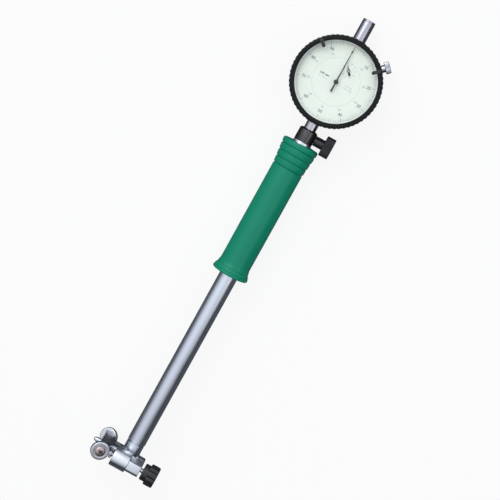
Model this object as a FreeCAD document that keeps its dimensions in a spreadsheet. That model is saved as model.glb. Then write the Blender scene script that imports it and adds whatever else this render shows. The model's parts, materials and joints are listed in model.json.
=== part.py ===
import FreeCAD, Part
import math
import os
import re

import Sketcher
from FreeCAD import Placement, Rotation, Vector

# A two-point dial bore gauge, in millimetres.
#
# Gauge frame: the middle of the dial face lies on the Z axis, the stem, the tube and the push rod run
# down along -Y, and the dial looks along +Z. The measuring axis crosses the tube's axis near the far end,
# with the moving contact towards -X. The finished gauge is then laid on its back, the dial up.

# Driving dimensions. Every cell of the sheet holds one of these numbers under this name.
SIZES = {
    # dial indicator
    "bezel_wall": 2.45,
    "bezel_lip": 0.8,
    "bezel_rear": 4.5,
    "bezel_height": 8.5,
    "bezel_chamfer": 0.9,
    "bezel_opening_chamfer": 0.4,
    "bezel_ledge": 0.9,
    "scallop_count": 60,
    "scallop_radius": 1.1,
    "scallop_depth": 0.35,
    "case_width": 53.0,
    "case_wall": 2.0,
    "case_back": 8.6,
    "web_front": 6.6,
    "web_thickness": 1.5,
    "cover_thickness": 1.9,
    "cover_inset": 1.5,
    "cover_chamfer": 0.6,
    "cover_screw_count": 4,
    "cover_screw_inset": 3.5,
    "cover_screw_width": 3.4,
    "cover_slot_width": 0.5,
    "cover_slot_depth": 0.4,
    "face_boss_inset": 1.0,
    "face_lift": 0.6,
    "face_thickness": 0.4,
    "centre_face_width": 29.8,
    "crystal_thickness": 1.1,
    "crystal_depth": 1.3,
    "crystal_seat": 0.35,
    "white_ring_width": 0.8,
    "white_ring_height": 1.4,
    "stem_width": 8.0,
    "stem_length": 16.6,
    "stem_chamfer": 0.4,
    "cap_width": 8.3,
    "cap_length": 16.2,
    "cap_bore": 5.4,
    "cap_end": 1.4,
    "cap_chamfer": 0.6,
    "spindle_width": 4.4,
    "spindle_top": 30.0,
    "spindle_low": 49.0,
    "point_width": 4.8,
    "point_length": 7.0,
    "point_chamfer": 1.5,
    # movement of the indicator
    "arbor_width": 1.2,
    "rack_pitch": 1.0,
    "rack_pinion_teeth": 10,
    "rack_tooth_rise": 0.28,
    "rack_tooth_drop": 0.4,
    "rack_notches": 11,
    "rack_mouth": 0.88,
    "rack_root": 0.28,
    "rack_entry": 0.2,
    "rack_thickness": 2.6,
    "counter_height": 9.6,
    "wheel_teeth": 80,
    "centre_teeth": 8,
    "counter_teeth": 24,
    "counter_tooth_rise": 0.22,
    "counter_tooth_drop": 0.3,
    "wheel_tooth_rise": 0.18,
    "wheel_tooth_drop": 0.25,
    "tooth_share": 0.36,
    "tooth_root_gain": 0.16,
    "tooth_tip_loss": 0.14,
    "gear_thickness": 0.5,
    "gear_gap": 0.3,
    "pillar_width": 2.6,
    "pillar_spread": 13.0,
    "pillar_low": 4.5,
    "pillar_high": 16.0,
    "plate_thickness": 1.0,
    "plate_margin": 2.0,
    "pointer_short": 1.7,
    "pointer_tail": 6.8,
    "pointer_thickness": 0.3,
    "pointer_hub_width": 3.0,
    "pointer_tip_width": 0.24,
    "pointer_root_width": 0.68,
    "pointer_tail_width": 1.0,
    "pointer_lift": 1.9,
    "counter_pointer_length": 3.9,
    "counter_pointer_tail": 3.1,
    "counter_pointer_width": 1.5,
    "counter_pointer_hub": 2.0,
    "counter_pointer_lift": 0.5,
    "counter_pointer_angle": 38.0,
    # limit hands and bezel clamp screw
    "limit_angle": 48.0,
    "limit_width": 2.2,
    "limit_overlap": 3.4,
    "limit_thickness": 0.6,
    "clamp_screw_angle": 46.0,
    "clamp_screw_level": 0.3,
    "clamp_boss_width": 7.0,
    "clamp_boss_height": 1.2,
    "clamp_screw_thread": 2.4,
    "clamp_screw_head": 7.6,
    "clamp_screw_thickness": 3.2,
    "clamp_screw_neck": 4.6,
    "clamp_screw_stand": 5.6,
    "clamp_screw_chamfer": 0.5,
    "clamp_knurl_count": 28,
    "clamp_knurl_radius": 0.3,
    "clamp_knurl_depth": 0.18,
    # clamp and thumb screw
    "collar_width": 12.1,
    "collar_length": 8.7,
    "collar_top": 33.8,
    "collar_chamfer": 0.9,
    "sleeve_wall": 1.0,
    "slit_width": 1.2,
    "thumb_neck_width": 6.5,
    "thumb_neck_length": 6.2,
    "thumb_head_width": 13.5,
    "thumb_head_length": 6.0,
    "thumb_thread_width": 3.6,
    "thumb_rise": 0.2,
    "thumb_chamfer": 0.5,
    "thumb_knurl_count": 32,
    "thumb_knurl_radius": 0.45,
    "thumb_knurl_depth": 0.25,
    # grip and tube
    "tube_width": 12.2,
    "tube_bore": 8.0,
    "tube_chamfer": 0.3,
    "stem_play": 1.0,
    "tube_end": 264.0,
    "grip_top": 44.2,
    "grip_end": 138.2,
    "grip_width": 20.4,
    "grip_top_width": 24.3,
    "grip_flare_width": 24.4,
    "grip_flare_length": 7.2,
    "ring_count": 4,
    "ring_pitch": 4.5,
    "ring_groove": 1.0,
    "ring_groove_depth": 0.7,
    "ring_edge": 0.35,
    "ring_slope": 0.6,
    "grip_top_round": 1.6,
    "grip_end_round": 1.2,
    "rod_width": 3.0,
    "rod_flange_width": 6.8,
    "rod_flange": 2.5,
    "rod_chamfer": 0.4,
    "rod_play": 0.05,
    "bush_length": 9.0,
    "seat_length": 4.0,
    "spring_top": 88.0,
    "rod_spring_length": 26.0,
    "rod_spring_width": 6.4,
    "rod_spring_turns": 10,
    "spring_wire": 0.6,
    # head
    "neck_rise": 11.4,
    "neck_width": 11.7,
    "neck_chamfer": 0.3,
    "spigot_length": 8.0,
    "barrel_width": 9.2,
    "barrel_left": 8.2,
    "barrel_right": 6.2,
    "guide_offset": 12.2,
    "front_barrel_width": 13.2,
    "front_barrel_right": 2.1,
    "barrel_chamfer": 0.5,
    "hexagon_width": 9.8,
    "hexagon_right": 11.0,
    "spring_chamber": 6.6,
    "spring_floor": 2.0,
    "rear_lug_left": 3.0,
    "rear_lug_right": 2.5,
    "rear_lug_width": 6.8,
    "web_height": 8.0,
    "web_left": 7.4,
    "web_right": 1.8,
    "crank_arm": 3.6,
    "crank_tip": 0.8,
    "crank_web": 0.9,
    "crank_thickness": 2.3,
    "crank_hub": 2.6,
    "crank_play": 0.25,
    "crank_pin": 1.2,
    "crank_pin_front": 3.8,
    "crank_pin_rear": 4.8,
    "contact_travel": 1.6,
    "plunger_width": 5.0,
    "plunger_front": 18.5,
    "nose_width": 1.8,
    "nose_length": 2.2,
    "plunger_chamfer": 0.6,
    "tip_width": 3.4,
    "tip_cone": 0.6,
    "tip_reach": 25.3,
    "tip_ball": 1.4,
    "anvil_width": 8.3,
    "anvil_shank": 5.0,
    "anvil_reach": 11.0,
    "anvil_round": 1.2,
    # centring bridge and rollers
    "bridge_travel": 2.2,
    "bridge_left": 20.2,
    "bridge_right": 13.5,
    "bridge_height": 7.0,
    "bridge_flare": 0.9,
    "bridge_waist": 4.0,
    "bridge_land": 2.4,
    "bridge_hollow": 1.8,
    "bridge_hollow_inset": 7.0,
    "roller_inset": 17.7,
    "roller_offset": 17.5,
    "roller_tilt": 20.0,
    "roller_width": 12.3,
    "roller_thickness": 2.8,
    "roller_round": 0.6,
    "roller_screw_head": 6.8,
    "roller_screw_rim": 0.65,
    "roller_screw_cone": 0.6,
    "roller_screw_dome": 0.2,
    "roller_screw_slope": 0.9,
    "cross_length": 3.4,
    "cross_width": 0.8,
    "cross_depth": 0.7,
    "roller_screw_shank": 3.6,
    "roller_screw_thread": 2.8,
    "roller_screw_depth": 3.8,
    "guide_width": 3.0,
    "guide_left": 16.2,
    "shoulder_right": 10.6,
    "shoulder_length": 0.8,
    "shoulder_width": 5.6,
    "rear_guide_right": 5.2,
    "guide_chamfer": 0.4,
    "bridge_spring_turns": 5,
    "clip_width": 6.0,
    "clip_thickness": 0.6,
    "knob_hub_left": 12.6,
    "knob_hub_width": 11.2,
    "knob_hub_length": 3.6,
    "knob_width": 14.2,
    "knob_length": 6.2,
    "knob_chamfer": 0.6,
    "knob_end_chamfer": 1.1,
    "knob_groove_count": 8,
    "knob_groove_radius": 1.1,
    "knob_groove_depth": 0.75,
    # clearances
    "fit": 0.02,
    "running": 0.05,
    "screw_play": 0.15,
    "side_gap": 0.3,
    # how far a cut starts or ends beyond the surface it cuts
    "overcut": 1.0,
}

# Sizes that follow from the driving ones.
RULES = {
    "bezel_width": "case_width + 2 * (bezel_wall + running)",
    "bezel_opening": "case_width - 2 * bezel_lip",
    "cover_width": "case_width - 2 * cover_inset",
    "cover_screw_circle": "cover_width - 2 * cover_screw_inset",
    "cap_reach": "case_width / 2 + cap_length",
    "pointer_length": "bezel_opening / 2 - pointer_short",
    "limit_reach": "bezel_opening / 2 - limit_overlap",
    "clamp_screw_reach": "bezel_width / 2 + clamp_screw_stand",
    "bezel_front": "bezel_rear + bezel_height",
    "crystal_top": "bezel_front - crystal_depth",
    "crystal_base": "crystal_top - crystal_thickness",
    "face_base": "web_front + face_lift",
    "face_top": "face_base + face_thickness",
    "web_rear": "web_front - web_thickness",
    "cover_back": "case_back + cover_thickness",
    "collar_low": "collar_top + collar_length",
    "stem_low": "case_width / 2 + stem_length",
    "sleeve_width": "stem_width + 2 * sleeve_wall",
    "thumb_level": "(collar_top + collar_low) / 2 + thumb_rise",
    "thumb_neck_end": "collar_width / 2 + thumb_neck_length",
    "thumb_end": "thumb_neck_end + thumb_head_length",
    "point_low": "spindle_low + point_length",
    "pitch_of_rack": "rack_pinion_teeth * rack_pitch / (2 * pi)",
    "counter_x": "spindle_width / 2 - rack_tooth_rise + pitch_of_rack",
    "wheel_rear": "spindle_width / 2 + gear_gap",
    "counter_rear": "wheel_rear + gear_thickness + gear_gap",
    "plate_front": "-spindle_width / 2 - gear_gap",
    "plate_rear": "plate_front - plate_thickness",
    "ring_step": "(grip_top_width - grip_width) / 2 / ring_count",
    "head_axis": "tube_end + neck_rise",
    "push_top": "point_low + rod_play",
    "push_low": "head_axis - crank_arm - crank_tip - running",
    "spring_low": "spring_top + rod_spring_length",
    "hexagon_corner": "hexagon_width / 2 / cos(30)",
    "seat_x": "-roller_inset - (roller_thickness / 2 + side_gap) * sin(roller_tilt)",
    "seat_z": "roller_offset - (roller_thickness / 2 + side_gap) * cos(roller_tilt)",
    "roller_reach": "roller_width / 2 * cos(roller_tilt) + roller_thickness / 2 * sin(roller_tilt)",
    "front_barrel_left": "roller_inset - roller_reach - bridge_travel - side_gap",
    "bush_low": "-tube_end + spigot_length + side_gap",
    "bush_top": "-tube_end + spigot_length + bush_length",
    "nose_end": "crank_arm + crank_tip + running",
    "plunger_shoulder": "nose_end + nose_length",
    "screw_seat": "-roller_thickness / 2 - side_gap",
    "screw_flange": "roller_thickness / 2 + screw_play",
    "screw_rim": "screw_flange + roller_screw_rim",
    "screw_top": "screw_rim + roller_screw_cone + roller_screw_dome",
    "knob_step": "knob_hub_left + knob_hub_length",
    "knob_end": "knob_step + knob_length",
}

# Corners of the grip's flare: the share of its length and of its rise that each one has reached.
FLARE_CORNERS = ((0.0, 0.0), (0.3, 0.34), (0.35, 0.24), (0.65, 0.84), (0.7, 0.7))

gauge = FreeCAD.newDocument("dial_bore_gauge")
sheet = gauge.addObject("Spreadsheet::Sheet", "dims")
for row, (alias, number) in enumerate(SIZES.items(), start=1):
    sheet.set("A%d" % row, str(number))
    sheet.setAlias("A%d" % row, alias)
gauge.recompute()

WORD = re.compile(r"[a-z]+(?:_[a-z]+)*")
ALONG_X = Rotation(Vector(0, 1, 0), 90)
ALONG_Y = Rotation(Vector(1, 0, 0), -90)
ALONG_Z = Rotation()
DOWN_X = Rotation(Vector(0, 1, 0), -90)
DOWN_Y = Rotation(Vector(1, 0, 0), 90)
# A turned piece's own Y axis laid along the dial's normal, to the right or to the left.
TO_DIAL = Rotation(Vector(1, 0, 0), 90)
TO_RIGHT = Rotation(Vector(0, 0, 1), -90)
TO_LEFT = Rotation(Vector(0, 0, 1), 90)
parts = {}


def bound(text):
    """Write an expression out in cells of the sheet."""
    def cell(match):
        word = match.group(0)
        if word in RULES:
            return "(" + bound(RULES[word]) + ")"
        return "dims." + word if word in SIZES else word
    return WORD.sub(cell, text)


def size(text):
    """The number that an expression gives now."""
    return float(sheet.evalExpression(bound(text)))


def origin_plane(body, role):
    """One of a body's own origin planes or axes."""
    return [item for item in body.Origin.OriginFeatures if item.Role == role][0]


def place(item, where, turn=ALONG_Z):
    """Stand a feature at a point given by three expressions."""
    item.Placement = Placement(Vector(*[size(text) for text in where]), turn)
    for axis, text in zip("xyz", where):
        item.setExpression("Placement.Base." + axis, bound(text))


def outline(body, name, role, points):
    """A closed sketch through points, each coordinate tied to the sheet."""
    sketch = body.newObject("Sketcher::SketchObject", name)
    sketch.AttachmentSupport = [(origin_plane(body, role), "")]
    sketch.MapMode = "FlatFace"
    corners = [Vector(size(across), size(along), 0) for across, along in points]
    count = len(corners)
    for index, corner in enumerate(corners):
        sketch.addGeometry(Part.LineSegment(corner, corners[(index + 1) % count]), False)
    for index in range(count):
        sketch.addConstraint(Sketcher.Constraint("Coincident", index, 2, (index + 1) % count, 1))
    for index, pair in enumerate(points):
        for kind, text, number in zip(("DistanceX", "DistanceY"), pair, corners[index]):
            tie = sketch.addConstraint(Sketcher.Constraint(kind, -1, 1, index, 1, number))
            sketch.setExpression("Constraints[%d]" % tie, bound(text))
    return sketch


def turned(label, points):
    """A piece turned about its own Y axis, from an outline of radius and height."""
    body = gauge.addObject("PartDesign::Body", label)
    sketch = outline(body, label + "_outline", "XY_Plane", points)
    shape = body.newObject("PartDesign::Revolution", label + "_turning")
    shape.Profile = sketch
    shape.ReferenceAxis = (sketch, ["V_Axis"])
    shape.Angle = 360
    parts[label] = body
    return body


def plate(label, role, points, thickness):
    """A flat piece cut to an outline, half its thickness each side of the plane."""
    body = gauge.addObject("PartDesign::Body", label)
    pad = body.newObject("PartDesign::Pad", label + "_pad")
    pad.Profile = outline(body, label + "_outline", role, points)
    pad.Midplane = True
    pad.setExpression("Length", bound(thickness))
    parts[label] = body
    return body


def rod(body, kind, radius, length, where, turn=ALONG_Z):
    """Add or cut a round bar that starts at a point and runs along the turned Z axis."""
    item = body.newObject("PartDesign::%sCylinder" % kind, body.Name + "_round")
    item.setExpression("Radius", bound(radius))
    item.setExpression("Height", bound(length))
    place(item, where, turn)
    return item


def chamfered(body, radius, chamfer, where, turn):
    """Add a bar's chamfered end, which starts at a point and widens along the turned Z axis."""
    item = body.newObject("PartDesign::AdditiveCone", body.Name + "_chamfer")
    item.setExpression("Radius1", bound("%s - %s" % (radius, chamfer)))
    item.setExpression("Radius2", bound(radius))
    item.setExpression("Height", bound(chamfer))
    place(item, where, turn)


def block(body, kind, lows, spans):
    """Add or cut a box, given its lowest corner and its three spans."""
    item = body.newObject("PartDesign::%sBox" % kind, body.Name + "_block")
    for name, text in zip(("Length", "Width", "Height"), spans):
        item.setExpression(name, bound(text))
    place(item, lows)
    return item


def around(body, features, role, count):
    """Repeat features evenly about one of the body's own axes."""
    gauge.recompute()
    pattern = body.newObject("PartDesign::PolarPattern", body.Name + "_circle")
    pattern.Originals = features
    pattern.Axis = (origin_plane(body, role), [""])
    pattern.Angle = 360
    pattern.setExpression("Occurrences", bound(count))
    body.Tip = pattern


def knurled(body, prefix, width, low, length):
    """Cut straight knurl grooves round a head that runs along the body's Y axis."""
    radius = prefix + "_knurl_radius"
    reach = "%s/2 + %s - %s_knurl_depth" % (width, radius, prefix)
    groove = rod(body, "Subtractive", radius, length + " + overcut", (reach, low, "0"), ALONG_Y)
    around(body, [groove], "Y_Axis", prefix + "_knurl_count")


def shaped(label, shape):
    """A piece whose form neither a sketch nor a primitive gives."""
    piece = gauge.addObject("Part::Feature", label)
    piece.Shape = shape.removeSplitter()
    parts[label] = piece
    return piece


def seat(label, where=("0", "0", "0"), turn=ALONG_Z):
    """Place a finished piece in the gauge frame."""
    parts[label].Placement = Placement(Vector(*[size(text) for text in where]), turn)


def toothed(teeth, pitch_radius, rise, drop, thickness, first):
    """A spur gear with straight-sided teeth, the first one centred on an angle in degrees."""
    step = 360.0 / teeth
    root = (pitch_radius - drop, size("tooth_share + tooth_root_gain") * step / 2)
    tip = (pitch_radius + rise, size("tooth_share - tooth_tip_loss") * step / 2)
    corners = []
    for tooth in range(teeth):
        middle = first + tooth * step
        for side, (radius, half) in ((-1, root), (-1, tip), (1, tip), (1, root)):
            turn = math.radians(middle + side * half)
            corners.append(Vector(radius * math.cos(turn), radius * math.sin(turn), 0))
    corners.append(corners[0])
    return Part.Face(Part.makePolygon(corners)).extrude(Vector(0, 0, thickness))


def coil(width, length, turns):
    """A compression spring that stands on the origin and runs up along Y."""
    wire = size("spring_wire")
    radius = size("(%s - spring_wire) / 2" % width)
    rise = size("%s - spring_wire" % length)
    pitch = rise / size(turns)
    path = Part.makeHelix(pitch, rise, radius)
    lead = Vector(0, radius, pitch / (2 * math.pi))
    section = Part.Wire(Part.makeCircle(wire / 2, Vector(radius, 0, 0), lead))
    spring = Part.Wire(path).makePipeShell([section], True, True)
    spring.translate(Vector(0, 0, wire / 2))
    spring.rotate(Vector(), Vector(1, 0, 0), -90)
    return spring


def indicator_housing():
    """Case, back cover with its screws, stem and dust cap: what the clamp holds."""
    case = turned("indicator_case", [
        ("case_width/2 - case_wall", "-case_back"), ("case_width/2", "-case_back"),
        ("case_width/2", "web_front - side_gap"), ("case_width/2 - case_wall", "web_front"),
        ("0", "web_front"), ("0", "web_rear"), ("case_width/2 - case_wall", "web_rear")])
    seat("indicator_case", turn=TO_DIAL)
    rod(case, "Additive", "centre_face_width/2 - face_boss_inset", "web_thickness + face_lift",
        ("0", "web_rear", "0"), ALONG_Y)
    for width, level in (("stem_width", "case_width/2 - case_wall - overcut"),
                         ("cap_width", "-case_width/2 - overcut")):
        rod(case, "Subtractive", width + "/2 + fit", "case_wall + 2*overcut", ("0", "0", level))
    for across, along in (("0", "0"), ("counter_x", "counter_height"), ("-counter_x", "counter_height")):
        rod(case, "Subtractive", "arbor_width/2 + running", "web_thickness + face_lift + 2*overcut",
            (across, "web_rear - overcut", "-(" + along + ")"), ALONG_Y)
    toward_screw = Rotation(Vector(0, 1, 0), 180 - size("clamp_screw_angle"))
    rod(case, "Additive", "clamp_boss_width/2", "case_wall + clamp_boss_height",
        ("(case_width/2 - case_wall) * sin(clamp_screw_angle)", "clamp_screw_level",
         "(case_wall - case_width/2) * cos(clamp_screw_angle)"), toward_screw)
    rod(case, "Subtractive", "clamp_screw_thread/2 + running", "case_width/2 + clamp_boss_height + overcut",
        ("0", "clamp_screw_level", "0"), toward_screw)

    cover = turned("back_cover", [
        ("0", "0"), ("cover_width/2 - cover_chamfer", "0"), ("cover_width/2", "cover_chamfer"),
        ("cover_width/2", "cover_thickness"), ("0", "cover_thickness")])
    hole = rod(cover, "Subtractive", "cover_screw_width/2 + fit", "cover_thickness",
               ("cover_screw_circle/2", "0", "0"), ALONG_Y)
    around(cover, [hole], "Y_Axis", "cover_screw_count")
    count = int(size("cover_screw_count"))
    first = 180.0 / count
    seat("back_cover", ("0", "0", "-cover_back"), Rotation(Vector(0, 0, 1), first) * TO_DIAL)

    radius = size("cover_screw_width/2")
    slot = size("cover_slot_width")
    screws = []
    for index in range(count):
        turn = math.radians(first * (1 + 2 * index))
        reach = size("cover_screw_circle/2")
        spot = Vector(reach * math.cos(turn), reach * math.sin(turn), -size("cover_back"))
        head = Part.makeCylinder(radius, size("cover_thickness"), spot)
        groove = Part.makeBox(2 * radius, slot, size("cover_slot_depth"), spot - Vector(radius, slot / 2, 0))
        screws.append(head.cut(groove))
    shaped("back_cover_screws", Part.makeCompound(screws))

    turned("stem", [
        ("spindle_width/2 + running", "-stem_low"), ("stem_width/2 - stem_chamfer", "-stem_low"),
        ("stem_width/2", "-stem_low + stem_chamfer"), ("stem_width/2", "-case_width/2 + case_wall"),
        ("spindle_width/2 + running", "-case_width/2 + case_wall")])
    turned("dust_cap", [
        ("cap_bore/2", "case_width/2 - case_wall"), ("cap_width/2", "case_width/2 - case_wall"),
        ("cap_width/2", "cap_reach - cap_chamfer"), ("cap_width/2 - cap_chamfer", "cap_reach"),
        ("0", "cap_reach"), ("0", "cap_reach - cap_end"), ("cap_bore/2", "cap_reach - cap_end")])


def movement():
    """The works of the indicator: spindle and rack, three arbors with their gears, and what bears them."""
    pitch_radius = size("pitch_of_rack")
    rise = size("rack_tooth_rise")
    drop = size("rack_tooth_drop")
    spindle = Part.makeCylinder(size("spindle_width/2"), size("spindle_top + spindle_low"),
                                Vector(0, -size("spindle_low"), 0), Vector(0, 1, 0))
    deep = size("spindle_width")
    entry = size("-spindle_width/2 - rack_entry")
    floor = size("-spindle_width/2 + rack_tooth_rise + rack_tooth_drop")
    mouth = size("rack_mouth * rack_pitch / 2")
    root = size("rack_root * rack_pitch / 2")
    step = size("rack_pitch")
    middle = size("counter_height")
    reach = int(size("rack_notches")) // 2
    for index in range(-reach, reach + 1):
        level = middle + index * step
        notch = [Vector(entry, level - mouth, -deep), Vector(entry, level + mouth, -deep),
                 Vector(floor, level + root, -deep), Vector(floor, level - root, -deep)]
        notch.append(notch[0])
        spindle = spindle.cut(Part.Face(Part.makePolygon(notch)).extrude(Vector(0, 0, 2 * deep)))
    shaped("spindle", spindle)

    turned("spindle_point", [
        ("0", "-point_low"), ("point_width/2 - point_chamfer", "-point_low"),
        ("point_width/2", "-point_low + point_chamfer"), ("point_width/2", "-spindle_low"),
        ("0", "-spindle_low")])

    arbor = size("arbor_width/2")
    counter_x = size("counter_x")
    gear = size("gear_thickness")
    wheel_rear = size("wheel_rear")
    counter_rear = size("counter_rear")
    thick = size("rack_thickness")
    centre_distance = math.hypot(counter_x, middle)
    module = centre_distance / size("(wheel_teeth + centre_teeth) / 2")
    rear = size("plate_rear")

    low = size("counter_tooth_drop")
    pinion = toothed(int(size("rack_pinion_teeth")), pitch_radius, rise, low, thick, 0.0)
    pinion.translate(Vector(0, 0, -thick / 2))
    shaft = Part.makeCylinder(arbor, size("web_front") - rear, Vector(0, 0, rear))
    teeth = int(size("counter_teeth"))
    tall = size("counter_tooth_rise")
    rack_counter = toothed(teeth, counter_x, tall, low, gear, 0.0)
    rack_counter.translate(Vector(0, 0, counter_rear))
    bearing = math.degrees(math.atan2(-middle, counter_x))
    wheel_rise = size("wheel_tooth_rise")
    wheel_drop = size("wheel_tooth_drop")
    wheel_radius = module * size("wheel_teeth / 2")
    wheel = toothed(int(size("wheel_teeth")), wheel_radius, wheel_rise, wheel_drop, gear, bearing)
    wheel.translate(Vector(0, 0, wheel_rear))
    left = Vector(-counter_x, middle, 0)
    rack_arbor = shaft.fuse([pinion, rack_counter])
    rack_arbor.translate(left)
    shaped("rack_arbor", rack_arbor)
    rim = wheel.cut(Part.makeCylinder(arbor, gear, Vector(0, 0, wheel_rear)))
    rim.translate(left)
    shaped("movement_wheel", rim)

    half = 180.0 / teeth
    counter_length = size("face_top + counter_pointer_lift + pointer_thickness - counter_rear")
    counter_shaft = Part.makeCylinder(arbor, counter_length, Vector(0, 0, counter_rear))
    counter = toothed(teeth, counter_x, tall, low, gear, 180.0 + half)
    counter.translate(Vector(0, 0, counter_rear))
    revolution = counter_shaft.fuse(counter)
    revolution.translate(Vector(counter_x, middle, 0))
    shaped("revolution_arbor", revolution)

    centre_length = size("face_top + pointer_lift - wheel_rear")
    centre_shaft = Part.makeCylinder(arbor, centre_length, Vector(0, 0, wheel_rear))
    half = 180.0 / size("centre_teeth")
    centre_radius = module * size("centre_teeth / 2")
    first = bearing + 180.0 + half
    centre = toothed(int(size("centre_teeth")), centre_radius, wheel_rise, wheel_drop, gear, first)
    centre.translate(Vector(0, 0, wheel_rear))
    shaped("centre_arbor", centre_shaft.fuse(centre))

    movement_plate = gauge.addObject("PartDesign::Body", "movement_plate")
    parts["movement_plate"] = movement_plate
    block(movement_plate, "Additive",
          ("-pillar_spread - plate_margin", "-pillar_low - plate_margin", "plate_rear"),
          ("2*(pillar_spread + plate_margin)", "pillar_low + pillar_high + 2*plate_margin",
           "plate_thickness"))
    for across in ("-pillar_spread", "pillar_spread"):
        for along in ("-pillar_low", "pillar_high"):
            rod(movement_plate, "Additive", "pillar_width/2", "web_rear - plate_front",
                (across, along, "plate_front"))
    rod(movement_plate, "Subtractive", "arbor_width/2 + running", "plate_thickness",
        ("-counter_x", "counter_height", "plate_rear"))


def pointer_shapes():
    """Main pointer and revolution pointer, with their hubs."""
    base = size("face_top + pointer_lift")
    thin = size("pointer_thickness")
    tip = size("pointer_length")
    tail = size("pointer_tail")
    right = [Vector(size(width + "/2"), level, base) for width, level in (
        ("pointer_tip_width", tip), ("pointer_root_width", 0), ("pointer_tail_width", -tail))]
    left = [Vector(-corner.x, corner.y, base) for corner in reversed(right)]
    blade = right + left + right[:1]
    hub = Part.makeCylinder(size("pointer_hub_width/2"), 3 * thin, Vector(0, 0, base - thin))
    pointer = Part.Face(Part.makePolygon(blade)).extrude(Vector(0, 0, thin)).fuse(hub)
    shaft = Part.makeCylinder(size("arbor_width/2"), thin, Vector(0, 0, base - thin))
    shaped("main_pointer", pointer.cut(shaft))

    level = size("face_top + counter_pointer_lift")
    reach = size("counter_pointer_length")
    tail = size("counter_pointer_tail")
    half = size("counter_pointer_width/2")
    point = Vector(0, reach, level)
    wedge = [point, Vector(half, -tail, level), Vector(-half, -tail, level), point]
    small = Part.Face(Part.makePolygon(wedge)).extrude(Vector(0, 0, thin))
    small = small.fuse(Part.makeCylinder(size("counter_pointer_hub/2"), thin, Vector(0, 0, level)))
    small = small.cut(Part.makeCylinder(size("arbor_width/2"), thin, Vector(0, 0, level)))
    small.rotate(Vector(), Vector(0, 0, 1), size("counter_pointer_angle"))
    small.translate(Vector(size("counter_x"), size("counter_height"), 0))
    shaped("revolution_pointer", small)


def bezel_group():
    """Bezel, crystal, white ring and scale ring, which turn together, and what rides on the bezel."""
    bezel = turned("bezel", [
        ("case_width/2 + running", "bezel_rear"), ("bezel_width/2 - bezel_chamfer", "bezel_rear"),
        ("bezel_width/2", "bezel_rear + bezel_chamfer"), ("bezel_width/2", "bezel_front - bezel_chamfer"),
        ("bezel_width/2 - bezel_chamfer", "bezel_front"),
        ("bezel_opening/2 + bezel_opening_chamfer", "bezel_front"),
        ("bezel_opening/2", "bezel_front - bezel_opening_chamfer"), ("bezel_opening/2", "crystal_top"),
        ("bezel_opening/2 + crystal_seat", "crystal_top"), ("bezel_opening/2 + crystal_seat", "crystal_base"),
        ("bezel_opening/2", "crystal_base"), ("bezel_opening/2", "face_base"),
        ("bezel_opening/2 - bezel_ledge", "face_base"),
        ("bezel_opening/2 - bezel_ledge", "web_front + side_gap"),
        ("case_width/2 + running", "web_front + side_gap")])
    notch = rod(bezel, "Subtractive", "scallop_radius", "bezel_height + 2*overcut",
                ("bezel_width/2 + scallop_radius - scallop_depth", "bezel_rear - overcut", "0"), ALONG_Y)
    around(bezel, [notch], "Y_Axis", "scallop_count")
    seat("bezel", turn=TO_DIAL)

    crystal = gauge.addObject("Part::Cylinder", "crystal")
    crystal.setExpression("Radius", bound("bezel_opening/2 + crystal_seat - fit"))
    crystal.setExpression("Height", bound("crystal_thickness"))
    parts["crystal"] = crystal
    seat("crystal", ("0", "0", "crystal_base"))

    turned("crystal_ring", [
        ("bezel_opening/2 - white_ring_width", "crystal_base - white_ring_height"),
        ("bezel_opening/2 - fit", "crystal_base - white_ring_height"),
        ("bezel_opening/2 - fit", "crystal_base"),
        ("bezel_opening/2 - white_ring_width/2", "crystal_base")])
    seat("crystal_ring", turn=TO_DIAL)

    turned("scale_ring", [
        ("centre_face_width/2 + running", "face_base"), ("bezel_opening/2 - fit", "face_base"),
        ("bezel_opening/2 - fit", "face_top"), ("centre_face_width/2 + running", "face_top")])
    seat("scale_ring", turn=TO_DIAL)

    face = turned("centre_face", [
        ("0", "face_base"), ("centre_face_width/2", "face_base"), ("centre_face_width/2", "face_top"),
        ("0", "face_top")])
    for across, along in (("0", "0"), ("counter_x", "counter_height")):
        rod(face, "Subtractive", "arbor_width/2 + running", "face_thickness",
            (across, "face_base", "-(" + along + ")"), ALONG_Y)
    seat("centre_face", turn=TO_DIAL)

    level = size("bezel_front")
    wide = size("limit_width")
    thick = size("limit_thickness")
    inner = size("limit_reach")
    outer = size("bezel_width/2 - bezel_chamfer")
    for name, side in (("limit_hand_left", 1), ("limit_hand_right", -1)):
        arm = Part.makeBox(wide, outer - inner - wide / 2, thick, Vector(-wide / 2, inner + wide / 2, level))
        hand = arm.fuse(Part.makeCylinder(wide / 2, thick, Vector(0, inner + wide / 2, level)))
        hand.rotate(Vector(), Vector(0, 0, 1), side * size("limit_angle"))
        shaped(name, hand)

    neck = "case_width/2 + clamp_boss_height + side_gap"
    flange = "clamp_screw_reach - clamp_screw_thickness"
    screw = turned("bezel_clamp_screw", [
        ("0", "case_width/2 - case_wall/2"), ("clamp_screw_thread/2", "case_width/2 - case_wall/2"),
        ("clamp_screw_thread/2", neck), ("clamp_screw_neck/2", neck), ("clamp_screw_neck/2", flange),
        ("clamp_screw_head/2", flange), ("clamp_screw_head/2", "clamp_screw_reach - clamp_screw_chamfer"),
        ("clamp_screw_head/2 - clamp_screw_chamfer", "clamp_screw_reach"), ("0", "clamp_screw_reach")])
    knurled(screw, "clamp", "clamp_screw_head", flange, "clamp_screw_thickness")
    seat("bezel_clamp_screw", ("0", "0", "clamp_screw_level"),
         Rotation(Vector(0, 0, 1), -size("clamp_screw_angle")))


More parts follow.
